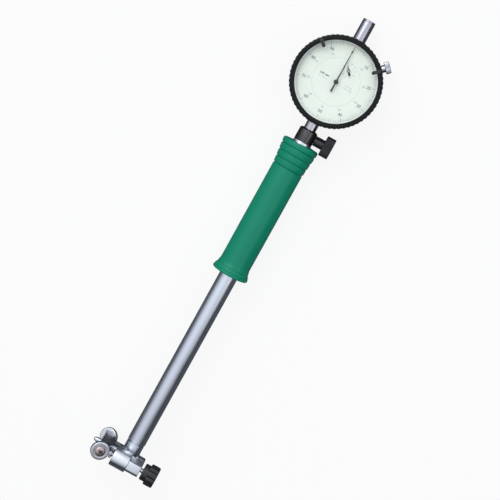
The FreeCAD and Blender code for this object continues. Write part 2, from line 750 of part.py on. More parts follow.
def grip_rings():
    """Outline of the finger rings, which step down from the grip's wide top to its shank."""
    points = []
    for index in range(int(size("ring_count"))):
        top = "-grip_top - %d*ring_pitch" % index
        low = "-grip_top - %d*ring_pitch + ring_groove" % (index + 1)
        radius = "grip_top_width/2 - %d*ring_step" % index
        lower = radius + " - ring_slope*ring_step"
        if index == 0:
            points += [(radius + " - grip_top_round", top),
                       (radius + " - grip_top_round*(1 - cos(45))", top + " - grip_top_round*(1 - sin(45))"),
                       (radius, top + " - grip_top_round")]
        else:
            points += [(radius + " - ring_edge", top), (radius, top + " - ring_edge")]
        points += [(lower, low + " + ring_edge"), (lower + " - ring_edge", low),
                   (lower + " - ring_groove_depth", low + " - ring_groove/4"),
                   (lower + " - ring_groove_depth", low + " - ring_groove*3/4")]
    return points + [("grip_width/2", "-grip_top - ring_count*ring_pitch")]


def grip_flare():
    """Outline of the grip's flared end, which widens over two small steps."""
    points = []
    for along, rise in FLARE_CORNERS:
        points.append(("grip_width/2 + %r*(grip_flare_width - grip_width)/2" % rise,
                       "-grip_end + %r*grip_flare_length" % (1 - along)))
    return points + [
        ("grip_flare_width/2", "-grip_end + grip_end_round"),
        ("grip_flare_width/2 - grip_end_round*(1 - cos(45))", "-grip_end + grip_end_round*(1 - sin(45))"),
        ("grip_flare_width/2 - grip_end_round", "-grip_end")]


def clamp_and_tube():
    """Split collar, thumb screw, tube, grip, and the push rod with its bush and spring."""
    collar = turned("clamp_collar", [
        ("sleeve_width/2 + fit", "-collar_low"), ("collar_width/2", "-collar_low"),
        ("collar_width/2", "-collar_top - collar_chamfer"),
        ("collar_width/2 - collar_chamfer", "-collar_top"),
        ("sleeve_width/2 + fit", "-collar_top")])
    block(collar, "Subtractive", ("-slit_width/2", "-collar_low", "0"),
          ("slit_width", "collar_length", "collar_width"))
    rod(collar, "Subtractive", "thumb_thread_width/2 + running", "collar_width", ("0", "-thumb_level", "0"),
        ALONG_X)

    screw = turned("thumb_screw", [
        ("0", "sleeve_width/2 + running"), ("thumb_thread_width/2", "sleeve_width/2 + running"),
        ("thumb_thread_width/2", "collar_width/2 + running"),
        ("thumb_neck_width/2", "collar_width/2 + running"),
        ("thumb_neck_width/2", "thumb_neck_end"), ("thumb_head_width/2 - thumb_chamfer", "thumb_neck_end"),
        ("thumb_head_width/2", "thumb_neck_end + thumb_chamfer"),
        ("thumb_head_width/2", "thumb_end - thumb_chamfer"),
        ("thumb_head_width/2 - thumb_chamfer", "thumb_end"), ("0", "thumb_end")])
    knurled(screw, "thumb", "thumb_head_width", "thumb_neck_end", "thumb_head_length")
    seat("thumb_screw", ("0", "-thumb_level", "0"), TO_RIGHT)

    tube = turned("tube", [
        ("tube_bore/2", "-tube_end"), ("tube_width/2 - tube_chamfer", "-tube_end"),
        ("tube_width/2", "-tube_end + tube_chamfer"), ("tube_width/2", "-collar_low - fit"),
        ("sleeve_width/2", "-collar_low - fit"), ("sleeve_width/2", "-collar_top"),
        ("stem_width/2 + running", "-collar_top"), ("stem_width/2 + running", "-stem_low - stem_play"),
        ("tube_bore/2", "-stem_low - stem_play")])
    block(tube, "Subtractive", ("-slit_width/2", "-collar_low", "0"),
          ("slit_width", "collar_length", "tube_width"))

    turned("grip", grip_rings() + grip_flare() + [
        ("tube_width/2 + fit", "-grip_end"), ("tube_width/2 + fit", "-grip_top")])

    turned("push_rod", [
        ("0", "-push_low"), ("rod_width/2 - rod_chamfer", "-push_low"),
        ("rod_width/2", "-push_low + rod_chamfer"),
        ("rod_width/2", "-spring_low - rod_flange"), ("rod_flange_width/2", "-spring_low - rod_flange"),
        ("rod_flange_width/2", "-spring_low"), ("rod_width/2", "-spring_low"),
        ("rod_width/2", "-push_top - rod_flange"), ("rod_flange_width/2", "-push_top - rod_flange"),
        ("rod_flange_width/2", "-push_top"), ("0", "-push_top")])
    turned("rod_bush", [
        ("rod_width/2 + running", "bush_low"), ("tube_bore/2 - fit", "bush_low"),
        ("tube_bore/2 - fit", "bush_top"), ("rod_width/2 + running", "bush_top")])
    turned("spring_seat", [
        ("rod_width/2 + running", "-spring_top"), ("tube_bore/2 - fit", "-spring_top"),
        ("tube_bore/2 - fit", "-spring_top + seat_length"),
        ("rod_width/2 + running", "-spring_top + seat_length")])


def head_body():
    """The head: neck, measuring barrel, front barrel with its hexagon, rear lug, and their bores."""
    head = gauge.addObject("PartDesign::Body", "head_body")
    parts["head_body"] = head
    rod(head, "Additive", "barrel_width/2", "barrel_left + barrel_right - barrel_chamfer",
        ("-barrel_left + barrel_chamfer", "0", "0"), ALONG_X)
    chamfered(head, "barrel_width/2", "barrel_chamfer", ("-barrel_left", "0", "0"), ALONG_X)
    rod(head, "Additive", "neck_width/2", "neck_rise - neck_chamfer", ("0", "0", "0"), ALONG_Y)
    chamfered(head, "neck_width/2", "neck_chamfer", ("0", "neck_rise", "0"), DOWN_Y)
    rod(head, "Additive", "tube_bore/2 - fit", "neck_rise + spigot_length", ("0", "0", "0"), ALONG_Y)
    block(head, "Additive", ("-web_left", "-web_height/2", "0"),
          ("web_left + web_right", "web_height", "guide_offset"))
    rod(head, "Additive", "front_barrel_width/2", "front_barrel_left + front_barrel_right - 2*barrel_chamfer",
        ("-front_barrel_left + barrel_chamfer", "0", "guide_offset"), ALONG_X)
    for level, turn in (("-front_barrel_left", ALONG_X), ("front_barrel_right", DOWN_X)):
        chamfered(head, "front_barrel_width/2", "barrel_chamfer", (level, "0", "guide_offset"), turn)
    hexagon = head.newObject("PartDesign::AdditivePrism", "head_hexagon")
    hexagon.Polygon = 6
    hexagon.setExpression("Circumradius", bound("hexagon_corner"))
    hexagon.setExpression("Height", bound("hexagon_right - front_barrel_right"))
    place(hexagon, ("front_barrel_right", "0", "guide_offset"), ALONG_X * Rotation(Vector(0, 0, 1), 90))
    block(head, "Additive", ("-rear_lug_left", "-rear_lug_width/2", "-guide_offset"),
          ("rear_lug_left + rear_lug_right", "rear_lug_width", "guide_offset"))
    rod(head, "Additive", "rear_lug_width/2", "rear_lug_left + rear_lug_right",
        ("-rear_lug_left", "0", "-guide_offset"), ALONG_X)

    rod(head, "Subtractive", "plunger_width/2 + running", "barrel_left - crank_arm + overcut",
        ("-barrel_left", "0", "0"), ALONG_X)
    block(head, "Subtractive",
          ("-crank_arm - crank_hub/2 - crank_play", "-crank_tip - side_gap",
           "-crank_thickness/2 - crank_play"),
          ("crank_arm + crank_hub/2 + crank_tip + 2*crank_play",
           "crank_arm + 2*crank_tip + contact_travel + side_gap + overcut", "crank_thickness + 2*crank_play"))
    rod(head, "Subtractive", "rod_width/2 + running", "neck_rise + spigot_length - crank_arm",
        ("0", "crank_arm", "0"), ALONG_Y)
    rod(head, "Subtractive", "crank_pin/2 + fit", "crank_pin_front + crank_pin_rear",
        ("-crank_arm", "crank_arm", "-crank_pin_rear"))
    rod(head, "Subtractive", "anvil_shank/2 + fit", "barrel_right - web_right", ("web_right", "0", "0"),
        ALONG_X)
    rod(head, "Subtractive", "guide_width/2 + running", "front_barrel_left + hexagon_right",
        ("-front_barrel_left", "0", "guide_offset"), ALONG_X)
    rod(head, "Subtractive", "spring_chamber/2", "front_barrel_left - spring_floor",
        ("-front_barrel_left", "0", "guide_offset"), ALONG_X)
    rod(head, "Subtractive", "guide_width/2 + running", "rear_lug_left + rear_lug_right",
        ("-rear_lug_left", "0", "-guide_offset"), ALONG_X)
    seat("head_body", ("0", "-head_axis", "0"))


def measuring_parts():
    """Contact tip and plunger, bell crank on its pin, and the anvil."""
    turned("contact_plunger", [
        ("0", "nose_end"), ("nose_width/2", "nose_end"), ("nose_width/2", "plunger_shoulder"),
        ("plunger_width/2", "plunger_shoulder"), ("plunger_width/2", "plunger_front - plunger_chamfer"),
        ("plunger_width/2 - plunger_chamfer", "plunger_front"), ("0", "plunger_front")])
    seat("contact_plunger", ("0", "-head_axis", "0"), TO_LEFT)
    turned("contact_tip", [
        ("0", "plunger_front"), ("tip_width/2", "plunger_front"),
        ("tip_width/2", "tip_reach - tip_ball - tip_cone"),
        ("tip_ball", "tip_reach - tip_ball"), ("tip_ball*cos(30)", "tip_reach - tip_ball*(1 - sin(30))"),
        ("tip_ball*cos(60)", "tip_reach - tip_ball*(1 - sin(60))"), ("0", "tip_reach")])
    seat("contact_tip", ("0", "-head_axis", "0"), TO_LEFT)
    turned("anvil", [
        ("0", "web_right + side_gap"), ("anvil_shank/2", "web_right + side_gap"),
        ("anvil_shank/2", "barrel_right"),
        ("anvil_width/2", "barrel_right"), ("anvil_width/2", "anvil_reach - anvil_round"),
        ("anvil_width/2 - anvil_round*(1 - cos(45))", "anvil_reach - anvil_round*(1 - sin(45))"),
        ("anvil_width/2 - anvil_round", "anvil_reach"), ("0", "anvil_reach")])
    seat("anvil", ("0", "-head_axis", "0"), TO_RIGHT)

    arm = size("crank_arm")
    tip = size("crank_tip")
    web_half = size("crank_web/2")
    thick = size("crank_thickness")
    low = Vector(0, 0, -thick / 2)
    crank = Part.makeCylinder(size("crank_hub/2"), thick, low)
    for toward in (Vector(0, -arm, 0), Vector(arm, 0, 0)):
        crank = crank.fuse(Part.makeCylinder(tip, thick, low + toward))
        across = Vector(abs(toward.y), abs(toward.x), 0) * (web_half / arm)
        near = low - across
        far = low + across
        web = Part.makePolygon([near, far, far + toward, near + toward, near])
        crank = crank.fuse(Part.Face(web).extrude(Vector(0, 0, thick)))
    crank = crank.cut(Part.makeCylinder(size("crank_pin/2 + running"), thick, low))
    shaped("bell_crank", crank)
    seat("bell_crank", ("-crank_arm", "-head_axis + crank_arm", "0"))

    pin = gauge.addObject("Part::Cylinder", "crank_pin")
    pin.setExpression("Radius", bound("crank_pin/2"))
    pin.setExpression("Height", bound("crank_pin_front + crank_pin_rear"))
    parts["crank_pin"] = pin
    seat("crank_pin", ("-crank_arm", "-head_axis + crank_arm", "-crank_pin_rear"))


def bridge_group():
    """Centring bridge with its guide rods, clip, knob and spring, and the two rollers on their screws."""
    half = [("-bridge_left", "guide_offset - bridge_waist")]
    for across in ("-bridge_left - bridge_flare", "-bridge_right"):
        half.append((across, "seat_z - (%s - seat_x) * tan(roller_tilt)" % across))
    half += [("-bridge_right", "guide_offset - bridge_land"),
             ("-bridge_right + bridge_hollow", "guide_offset - bridge_hollow_inset")]
    mirrored = [(across, "-(" + along + ")") for across, along in reversed(half)]
    bridge = plate("centring_bridge", "XZ_Plane", half + mirrored, "bridge_height")
    rod(bridge, "Subtractive", "plunger_width/2 + side_gap", "bridge_left + 2*overcut",
        ("-bridge_left - overcut", "0", "0"), ALONG_X)
    for side, name in ((1, "front"), (-1, "rear")):
        offset = "guide_offset" if side > 0 else "-guide_offset"
        rod(bridge, "Subtractive", "guide_width/2 + fit", "guide_left", ("-guide_left", "0", offset), ALONG_X)
        lean = math.radians(size("roller_tilt"))
        outward = Vector(math.sin(lean), 0, side * math.cos(lean))
        inward = Rotation(Vector(0, 0, 1), outward * -1)
        seat_z = "seat_z" if side > 0 else "-(seat_z)"
        rod(bridge, "Subtractive", "roller_screw_thread/2 + fit", "roller_screw_depth",
            ("seat_x", "0", seat_z), inward)

        label = "roller_" + name
        turned(label, [
            ("roller_screw_shank/2 + running", "-roller_thickness/2"),
            ("roller_width/2 - roller_round", "-roller_thickness/2"),
            ("roller_width/2", "-roller_thickness/2 + roller_round"),
            ("roller_width/2", "roller_thickness/2 - roller_round"),
            ("roller_width/2 - roller_round", "roller_thickness/2"),
            ("roller_screw_shank/2 + running", "roller_thickness/2")])
        screw = turned("roller_screw_" + name, [
            ("0", "screw_seat - roller_screw_depth"),
            ("roller_screw_thread/2", "screw_seat - roller_screw_depth"),
            ("roller_screw_thread/2", "screw_seat"), ("roller_screw_shank/2", "screw_seat"),
            ("roller_screw_shank/2", "screw_flange"), ("roller_screw_head/2", "screw_flange"),
            ("roller_screw_head/2", "screw_rim"),
            ("roller_screw_head/2 - roller_screw_slope", "screw_rim + roller_screw_cone"),
            ("0", "screw_top")])
        for across, along in (("cross_length", "cross_width"), ("cross_width", "cross_length")):
            block(screw, "Subtractive", ("-%s/2" % across, "screw_top - cross_depth", "-%s/2" % along),
                  (across, "cross_depth + overcut", along))
        stand = Rotation(Vector(0, 1, 0), outward)
        where = ("-roller_inset", "-head_axis", "roller_offset" if side > 0 else "-roller_offset")
        seat(label, where, stand)
        seat("roller_screw_" + name, where, stand)
    seat("centring_bridge", ("0", "-head_axis", "0"))

    turned("front_guide_rod", [
        ("0", "-guide_left"), ("guide_width/2", "-guide_left"),
        ("guide_width/2", "-shoulder_right - shoulder_length"),
        ("shoulder_width/2", "-shoulder_right - shoulder_length"), ("shoulder_width/2", "-shoulder_right"),
        ("guide_width/2", "-shoulder_right"), ("guide_width/2", "knob_step"), ("0", "knob_step")])
    seat("front_guide_rod", ("0", "-head_axis", "guide_offset"), TO_RIGHT)
    turned("rear_guide_rod", [
        ("0", "-guide_left"), ("guide_width/2", "-guide_left"),
        ("guide_width/2", "rear_guide_right - guide_chamfer"),
        ("guide_width/2 - guide_chamfer", "rear_guide_right"), ("0", "rear_guide_right")])
    seat("rear_guide_rod", ("0", "-head_axis", "-guide_offset"), TO_RIGHT)
    turned("guide_clip", [
        ("guide_width/2 + fit", "rear_lug_right + side_gap"), ("clip_width/2", "rear_lug_right + side_gap"),
        ("clip_width/2", "rear_lug_right + side_gap + clip_thickness"),
        ("guide_width/2 + fit", "rear_lug_right + side_gap + clip_thickness")])
    seat("guide_clip", ("0", "-head_axis", "-guide_offset"), TO_RIGHT)

    knob = turned("bridge_knob", [
        ("0", "knob_step"), ("guide_width/2 + fit", "knob_step"), ("guide_width/2 + fit", "knob_hub_left"),
        ("knob_hub_width/2 - knob_chamfer", "knob_hub_left"),
        ("knob_hub_width/2", "knob_hub_left + knob_chamfer"),
        ("knob_hub_width/2", "knob_step"), ("knob_width/2 - knob_chamfer", "knob_step"),
        ("knob_width/2", "knob_step + knob_chamfer"), ("knob_width/2", "knob_end - knob_end_chamfer"),
        ("knob_width/2 - knob_end_chamfer", "knob_end"), ("0", "knob_end")])
    groove = rod(knob, "Subtractive", "knob_groove_radius", "knob_length + overcut",
                 ("knob_width/2 + knob_groove_radius - knob_groove_depth", "knob_step", "0"), ALONG_Y)
    around(knob, [groove], "Y_Axis", "knob_groove_count")
    seat("bridge_knob", ("0", "-head_axis", "guide_offset"), TO_RIGHT)


def springs():
    """Return spring of the push rod, and the spring that holds the bridge out."""
    shaped("rod_spring", coil("rod_spring_width", "rod_spring_length", "rod_spring_turns"))
    seat("rod_spring", ("0", "-spring_low", "0"))
    shaped("bridge_spring", coil("spring_chamber - 2*side_gap", "shoulder_right - spring_floor",
                                 "bridge_spring_turns"))
    seat("bridge_spring", ("-shoulder_right", "-head_axis", "guide_offset"), TO_RIGHT)


def lay_down():
    """Lay the gauge on its back: on the rear roller or its screw, and the far edge of the back cover."""
    lean = math.radians(size("roller_tilt"))
    edges = (("roller_width/2 - roller_round", "roller_thickness/2"), ("roller_screw_head/2", "screw_rim"),
             ("roller_screw_head/2 - roller_screw_slope", "screw_rim + roller_screw_cone"))
    reach = max(size(radius) * math.sin(lean) + size(height) * math.cos(lean) for radius, height in edges)
    drop = size("roller_offset - cover_back") + reach
    tilt = math.atan2(drop, size("head_axis + cover_width/2 - cover_chamfer"))
    flat = Placement(Vector(), Rotation(Vector(1, 0, 0), math.degrees(-tilt)))
    for part in parts.values():
        part.Placement = flat.multiply(part.Placement)
    gauge.recompute()
    whole = FreeCAD.BoundBox()
    for part in parts.values():
        whole.add(part.Shape.optimalBoundingBox(False, False))
    shift = Placement(Vector(-whole.Center.x, -whole.Center.y, -whole.ZMin), Rotation())
    for part in parts.values():
        part.Placement = shift.multiply(part.Placement)
    return shift.multiply(flat)


indicator_housing()
movement()
pointer_shapes()
bezel_group()
clamp_and_tube()
head_body()
measuring_parts()
bridge_group()
springs()
gauge.recompute()
laid = lay_down()
gauge.recompute()

for item in gauge.Objects:
    if "Invalid" in item.State or "Error" in item.State:
        raise RuntimeError("%s did not build: %s" % (item.Label, item.State))
for label, part in parts.items():
    if part.Shape.isNull() or not part.Shape.isValid():
        raise RuntimeError("%s has no valid shape" % label)

os.makedirs("parts", exist_ok=True)
for label, part in parts.items():
    part.Label = label
    part.Shape.exportStep("parts/%s.step" % label)
print("%d parts" % len(parts))
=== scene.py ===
import enum
import json
import logging
import math
from dataclasses import dataclass
from typing import Callable, Optional, Sequence

import bmesh
import bpy
from mathutils import Matrix, Vector


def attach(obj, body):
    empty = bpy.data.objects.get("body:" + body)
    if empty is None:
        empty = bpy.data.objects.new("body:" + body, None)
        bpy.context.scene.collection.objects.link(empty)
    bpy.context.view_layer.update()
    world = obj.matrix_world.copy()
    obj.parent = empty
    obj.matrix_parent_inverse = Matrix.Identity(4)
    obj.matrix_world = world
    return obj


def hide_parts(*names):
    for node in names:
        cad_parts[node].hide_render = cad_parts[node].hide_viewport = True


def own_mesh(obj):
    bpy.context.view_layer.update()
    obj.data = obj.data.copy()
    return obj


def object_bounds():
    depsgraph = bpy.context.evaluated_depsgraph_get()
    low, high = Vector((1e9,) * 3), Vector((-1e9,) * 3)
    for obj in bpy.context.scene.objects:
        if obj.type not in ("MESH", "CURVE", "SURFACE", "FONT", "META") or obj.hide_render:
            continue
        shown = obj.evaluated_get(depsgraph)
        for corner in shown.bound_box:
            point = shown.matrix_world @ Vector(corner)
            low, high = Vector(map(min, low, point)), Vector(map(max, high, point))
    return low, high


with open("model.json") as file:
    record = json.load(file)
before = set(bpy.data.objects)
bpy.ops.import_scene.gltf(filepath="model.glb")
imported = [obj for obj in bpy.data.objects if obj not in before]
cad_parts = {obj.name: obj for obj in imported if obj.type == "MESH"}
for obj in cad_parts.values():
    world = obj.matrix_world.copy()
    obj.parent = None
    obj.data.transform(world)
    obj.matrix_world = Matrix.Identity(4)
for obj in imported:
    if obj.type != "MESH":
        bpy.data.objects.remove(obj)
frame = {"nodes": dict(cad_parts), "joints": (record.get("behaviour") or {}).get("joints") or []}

MM = 0.001
CAD_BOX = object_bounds()
LOG = logging.getLogger("dial_bore_gauge")


# ---------------------------------------------------------------- the gauge's own frame

class Along(enum.Enum):
    """The direction a turned piece's axis takes in the gauge: each value turns +Y into it."""

    TUBE = Matrix.Identity(4)
    DIAL = Matrix.Rotation(math.radians(90), 4, "X")
    KNOB = Matrix.Rotation(math.radians(-90), 4, "Z")
    CONTACT = Matrix.Rotation(math.radians(90), 4, "Z")


@dataclass(frozen=True)
class GaugeFrame:
    """The gauge's axes, in millimetres: X across the dial, Y up the tube to the dial, Z out of the dial."""

    matrix: Matrix

    @classmethod
    def from_joints(cls, joints: Sequence[dict]) -> "GaugeFrame":
        """Read the gauge's axes off two of its joints.

        Args:
            joints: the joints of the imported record.

        Returns:
            The frame whose origin is the middle of the dial, on the axis of the tube.
        """
        named = {joint["name"]: joint for joint in joints}
        up = Vector(named["indicator_turn"]["axis"]).normalized()
        out = Vector(named["bezel_turn"]["axis"]).normalized()
        turn = Matrix((up.cross(out), up, out)).transposed().to_4x4()
        return cls(Matrix.Translation(Vector(named["bezel_turn"]["pos_m"])) @ turn)

    def extent(self, node: str) -> tuple[Vector, Vector]:
        """Measure a CAD node along the gauge's axes.

        Args:
            node: the node's name.

        Returns:
            Its lowest and highest corner, in millimetres.
        """
        back = self.matrix.inverted()
        points = [back @ vertex.co / MM for vertex in frame["nodes"][node].data.vertices]
        low = Vector([min(point[axis] for point in points) for axis in range(3)])
        high = Vector([max(point[axis] for point in points) for axis in range(3)])
        return low, high

    def pose(self, at: Sequence[float], along: Matrix) -> Matrix:
        """Place a piece.

        Args:
            at: where its own origin goes, in millimetres of the gauge.
            along: how it is turned.

        Returns:
            The matrix that takes the piece's own metres to the row frame.
        """
        return self.matrix @ Matrix.Translation(Vector(at) * MM) @ along

    def direction(self, way: Sequence[float]) -> Vector:
        """Turn a direction of the gauge into one of the row frame.

        Args:
            way: the direction in the gauge.

        Returns:
            The same direction in the row frame.
        """
        return (self.matrix.to_3x3() @ Vector(way)).normalized()


GAUGE = GaugeFrame.from_joints(frame["joints"])


# ---------------------------------------------------------------- shader groups and finishes

class Group:
    """A shader node group with named sockets, built once."""

    made: dict[str, bpy.types.NodeTree] = {}

    @classmethod
    def start(cls, name: str, inputs: Sequence[tuple[str, str, object]],
              outputs: Sequence[tuple[str, str]]) -> tuple[bpy.types.NodeTree, object, object]:
        """Make an empty group.

        Args:
            name: the group's name.
            inputs: name, kind and default of each input.
            outputs: name and kind of each output.

        Returns:
            The tree, its input node and its output node.
        """
        tree = bpy.data.node_groups.new(name, "ShaderNodeTree")
        for label, kind, default in inputs:
            socket = tree.interface.new_socket(name=label, in_out="INPUT", socket_type="NodeSocket" + kind)
            socket.default_value = default
        for label, kind in outputs:
            tree.interface.new_socket(name=label, in_out="OUTPUT", socket_type="NodeSocket" + kind)
        cls.made[name] = tree
        return tree, tree.nodes.new("NodeGroupInput"), tree.nodes.new("NodeGroupOutput")


def math_node(tree: bpy.types.NodeTree, kind: str, first: object, second: object,
              clamp: bool = False) -> object:
    """Add a Math node.

    Args:
        tree: the tree it goes in.
        kind: its operation.
        first: a socket or a number.
        second: a socket or a number.
        clamp: whether the result stays between 0 and 1.

    Returns:
        Its output socket.
    """
    node = tree.nodes.new("ShaderNodeMath")
    node.operation = kind
    node.use_clamp = clamp
    for index, value in enumerate((first, second)):
        if isinstance(value, (int, float)):
            node.inputs[index].default_value = value
        else:
            tree.links.new(value, node.inputs[index])
    return node.outputs[0]


def mixed_colour(tree: bpy.types.NodeTree, share: object, first: object, second: object) -> object:
    """Mix two colours.

    Args:
        tree: the tree the node goes in.
        share: the socket that gives the second colour's share.
        first: a colour or a socket.
        second: a colour or a socket.

    Returns:
        The mixed colour's socket.
    """
    node = tree.nodes.new("ShaderNodeMix")
    node.data_type = "RGBA"
    tree.links.new(share, node.inputs["Factor"])
    for value, socket in ((first, node.inputs[6]), (second, node.inputs[7])):
        if isinstance(value, tuple):
            socket.default_value = (*value[:3], 1.0)
        else:
            tree.links.new(value, socket)
    return node.outputs[2]


def grain_group() -> bpy.types.NodeTree:
    """Build the grain of a ground, brushed or moulded surface: fine streaks and a slow drift."""
    tree, given, out = Group.start(
        "surface_grain",
        [("Streaks", "Vector", (900.0, 900.0, 900.0)), ("Roughness", "Float", 0.3), ("Spread", "Float", 0.08),
         ("Depth", "Float", 0.3)],
        [("Roughness", "Float"), ("Height", "Float"), ("Drift", "Float")])
    place = tree.nodes.new("ShaderNodeTexCoord")
    scale = tree.nodes.new("ShaderNodeVectorMath")
    scale.operation = "MULTIPLY"
    tree.links.new(place.outputs["Object"], scale.inputs[0])
    tree.links.new(given.outputs["Streaks"], scale.inputs[1])
    fine = tree.nodes.new("ShaderNodeTexNoise")
    fine.inputs["Scale"].default_value = 1.0
    fine.inputs["Detail"].default_value = 4.0
    fine.inputs["Roughness"].default_value = 0.65
    tree.links.new(scale.outputs[0], fine.inputs["Vector"])
    slow = tree.nodes.new("ShaderNodeTexNoise")
    slow.inputs["Scale"].default_value = 70.0
    slow.inputs["Detail"].default_value = 2.0
    tree.links.new(place.outputs["Object"], slow.inputs["Vector"])
    swing = math_node(tree, "SUBTRACT", fine.outputs["Fac"], 0.5)
    swing = math_node(tree, "ADD", swing, math_node(tree, "SUBTRACT", slow.outputs["Fac"], 0.5))
    spread = math_node(tree, "MULTIPLY", swing, given.outputs["Spread"])
    tree.links.new(math_node(tree, "ADD", given.outputs["Roughness"], spread, True), out.inputs["Roughness"])
    tree.links.new(math_node(tree, "MULTIPLY", fine.outputs["Fac"], given.outputs["Depth"]),
                   out.inputs["Height"])
    tree.links.new(slow.outputs["Fac"], out.inputs["Drift"])
    return tree


def wear_group() -> bpy.types.NodeTree:
    """Build the wear of outer edges: a mask that is broken up by noise."""
    tree, given, out = Group.start(
        "edge_wear", [("Amount", "Float", 0.5), ("Start", "Float", 0.52), ("Patches", "Float", 400.0)],
        [("Mask", "Float")])
    shape = tree.nodes.new("ShaderNodeNewGeometry")
    place = tree.nodes.new("ShaderNodeTexCoord")
    noise = tree.nodes.new("ShaderNodeTexNoise")
    noise.inputs["Detail"].default_value = 3.0
    tree.links.new(place.outputs["Object"], noise.inputs["Vector"])
    tree.links.new(given.outputs["Patches"], noise.inputs["Scale"])
    above = math_node(tree, "SUBTRACT", shape.outputs["Pointiness"], given.outputs["Start"])
    edge = math_node(tree, "MULTIPLY", above, 14.0, True)
    broken = math_node(tree, "MULTIPLY", edge, math_node(tree, "MULTIPLY", noise.outputs["Fac"], 1.6), True)
    tree.links.new(math_node(tree, "MULTIPLY", broken, given.outputs["Amount"], True), out.inputs["Mask"])
    return tree


def rings_group() -> bpy.types.NodeTree:
    """Build the marks that a lathe tool leaves: fine rings round the piece's own Y axis."""
    tree, given, out = Group.start(
        "turned_rings", [("Per metre", "Float", 4000.0), ("Depth", "Float", 0.3)],
        [("Height", "Float"), ("Shade", "Float")])
    place = tree.nodes.new("ShaderNodeTexCoord")
    parts = tree.nodes.new("ShaderNodeSeparateXYZ")
    tree.links.new(place.outputs["Object"], parts.inputs[0])
    square = math_node(tree, "ADD", math_node(tree, "MULTIPLY", parts.outputs["X"], parts.outputs["X"]),
                       math_node(tree, "MULTIPLY", parts.outputs["Z"], parts.outputs["Z"]))
    radius = math_node(tree, "SQRT", square, 0.0)
    across = math_node(tree, "ADD", radius, parts.outputs["Y"])
    turns = math_node(tree, "MULTIPLY", across, given.outputs["Per metre"])
    wave = math_node(tree, "SINE", math_node(tree, "MULTIPLY", turns, math.tau), 0.0)
    half = math_node(tree, "MULTIPLY", wave, 0.5)
    tree.links.new(math_node(tree, "MULTIPLY", half, given.outputs["Depth"]), out.inputs["Height"])
    tree.links.new(math_node(tree, "ADD", half, 0.5), out.inputs["Shade"])
    return tree


def dust_group() -> bpy.types.NodeTree:
    """Build a thin uneven film, as handling leaves: a mask in soft patches."""
    tree, given, out = Group.start("handling_film", [("Amount", "Float", 0.15), ("Patches", "Float", 120.0)],
                                   [("Mask", "Float")])
    place = tree.nodes.new("ShaderNodeTexCoord")
    noise = tree.nodes.new("ShaderNodeTexNoise")
    noise.inputs["Detail"].default_value = 5.0
    tree.links.new(place.outputs["Object"], noise.inputs["Vector"])
    tree.links.new(given.outputs["Patches"], noise.inputs["Scale"])
    soft = math_node(tree, "MULTIPLY", math_node(tree, "SUBTRACT", noise.outputs["Fac"], 0.42), 3.0, True)
    tree.links.new(math_node(tree, "MULTIPLY", soft, given.outputs["Amount"], True), out.inputs["Mask"])
    return tree


GRAIN = grain_group()
WEAR = wear_group()
RINGS = rings_group()
FILM = dust_group()

Colour = tuple[float, float, float]


@dataclass(frozen=True)
class Finish:
    """One surface finish: a Principled shader with grain, edge wear, tool marks and a handling film."""

    name: str
    colour: Colour
    metallic: float = 0.0
    roughness: float = 0.35
    spread: float = 0.08
    streaks: tuple[float, float, float] = (1500.0, 1500.0, 1500.0)
    depth: float = 0.3
    bump: float = 0.00002
    worn: Colour = (0.5, 0.5, 0.5)
    wear: float = 0.0
    film: float = 0.0
    film_colour: Colour = (0.5, 0.5, 0.48)
    rings: float = 0.0
    rings_per_metre: float = 4000.0
    drift: float = 0.06
    coat: float = 0.0
    coat_roughness: float = 0.1
    specular: float = 0.5

    def material(self) -> bpy.types.Material:
        """Make the finish's material, or find it if it is made already."""
        found = bpy.data.materials.get(self.name)
        return found if found else self.build()

    def place(self, tree: bpy.types.NodeTree, group: bpy.types.NodeTree, **values: object) -> object:
        """Put a shader group in the material.

        Args:
            tree: the material's tree.
            group: the shader group.
            **values: its inputs, spaces written as underscores.

        Returns:
            The group node.
        """
        node = tree.nodes.new("ShaderNodeGroup")
        node.node_tree = group
        for label, value in values.items():
            node.inputs[label.replace("_", " ")].default_value = value
        return node

    def build(self) -> bpy.types.Material:
        """Make the material with its nodes."""
        material = bpy.data.materials.new(self.name)
        material.use_nodes = True
        tree = material.node_tree
        shader = tree.nodes["Principled BSDF"]
        shader.inputs["Metallic"].default_value = self.metallic
        shader.inputs["Specular IOR Level"].default_value = self.specular
        shader.inputs["Coat Weight"].default_value = self.coat
        shader.inputs["Coat Roughness"].default_value = self.coat_roughness
        grain = self.place(tree, GRAIN, Streaks=self.streaks, Roughness=self.roughness, Spread=self.spread,
                           Depth=self.depth)
        dark = tuple(value * (1 - 2 * self.drift) for value in self.colour)
        colour = mixed_colour(tree, grain.outputs["Drift"], dark, self.colour)
        height = grain.outputs["Height"]
        if self.rings:
            rings = self.place(tree, RINGS, Per_metre=self.rings_per_metre, Depth=self.rings)
            height = math_node(tree, "ADD", height, rings.outputs["Height"])
        if self.wear:
            worn = self.place(tree, WEAR, Amount=self.wear)
            colour = mixed_colour(tree, worn.outputs["Mask"], colour, self.worn)
        if self.film:
            film = self.place(tree, FILM, Amount=self.film)
            colour = mixed_colour(tree, film.outputs["Mask"], colour, self.film_colour)
        tree.links.new(colour, shader.inputs["Base Color"])
        tree.links.new(grain.outputs["Roughness"], shader.inputs["Roughness"])
        bump = tree.nodes.new("ShaderNodeBump")
        bump.inputs["Strength"].default_value = 0.6
        bump.inputs["Distance"].default_value = self.bump
        tree.links.new(height, bump.inputs["Height"])
        tree.links.new(bump.outputs["Normal"], shader.inputs["Normal"])
        return material


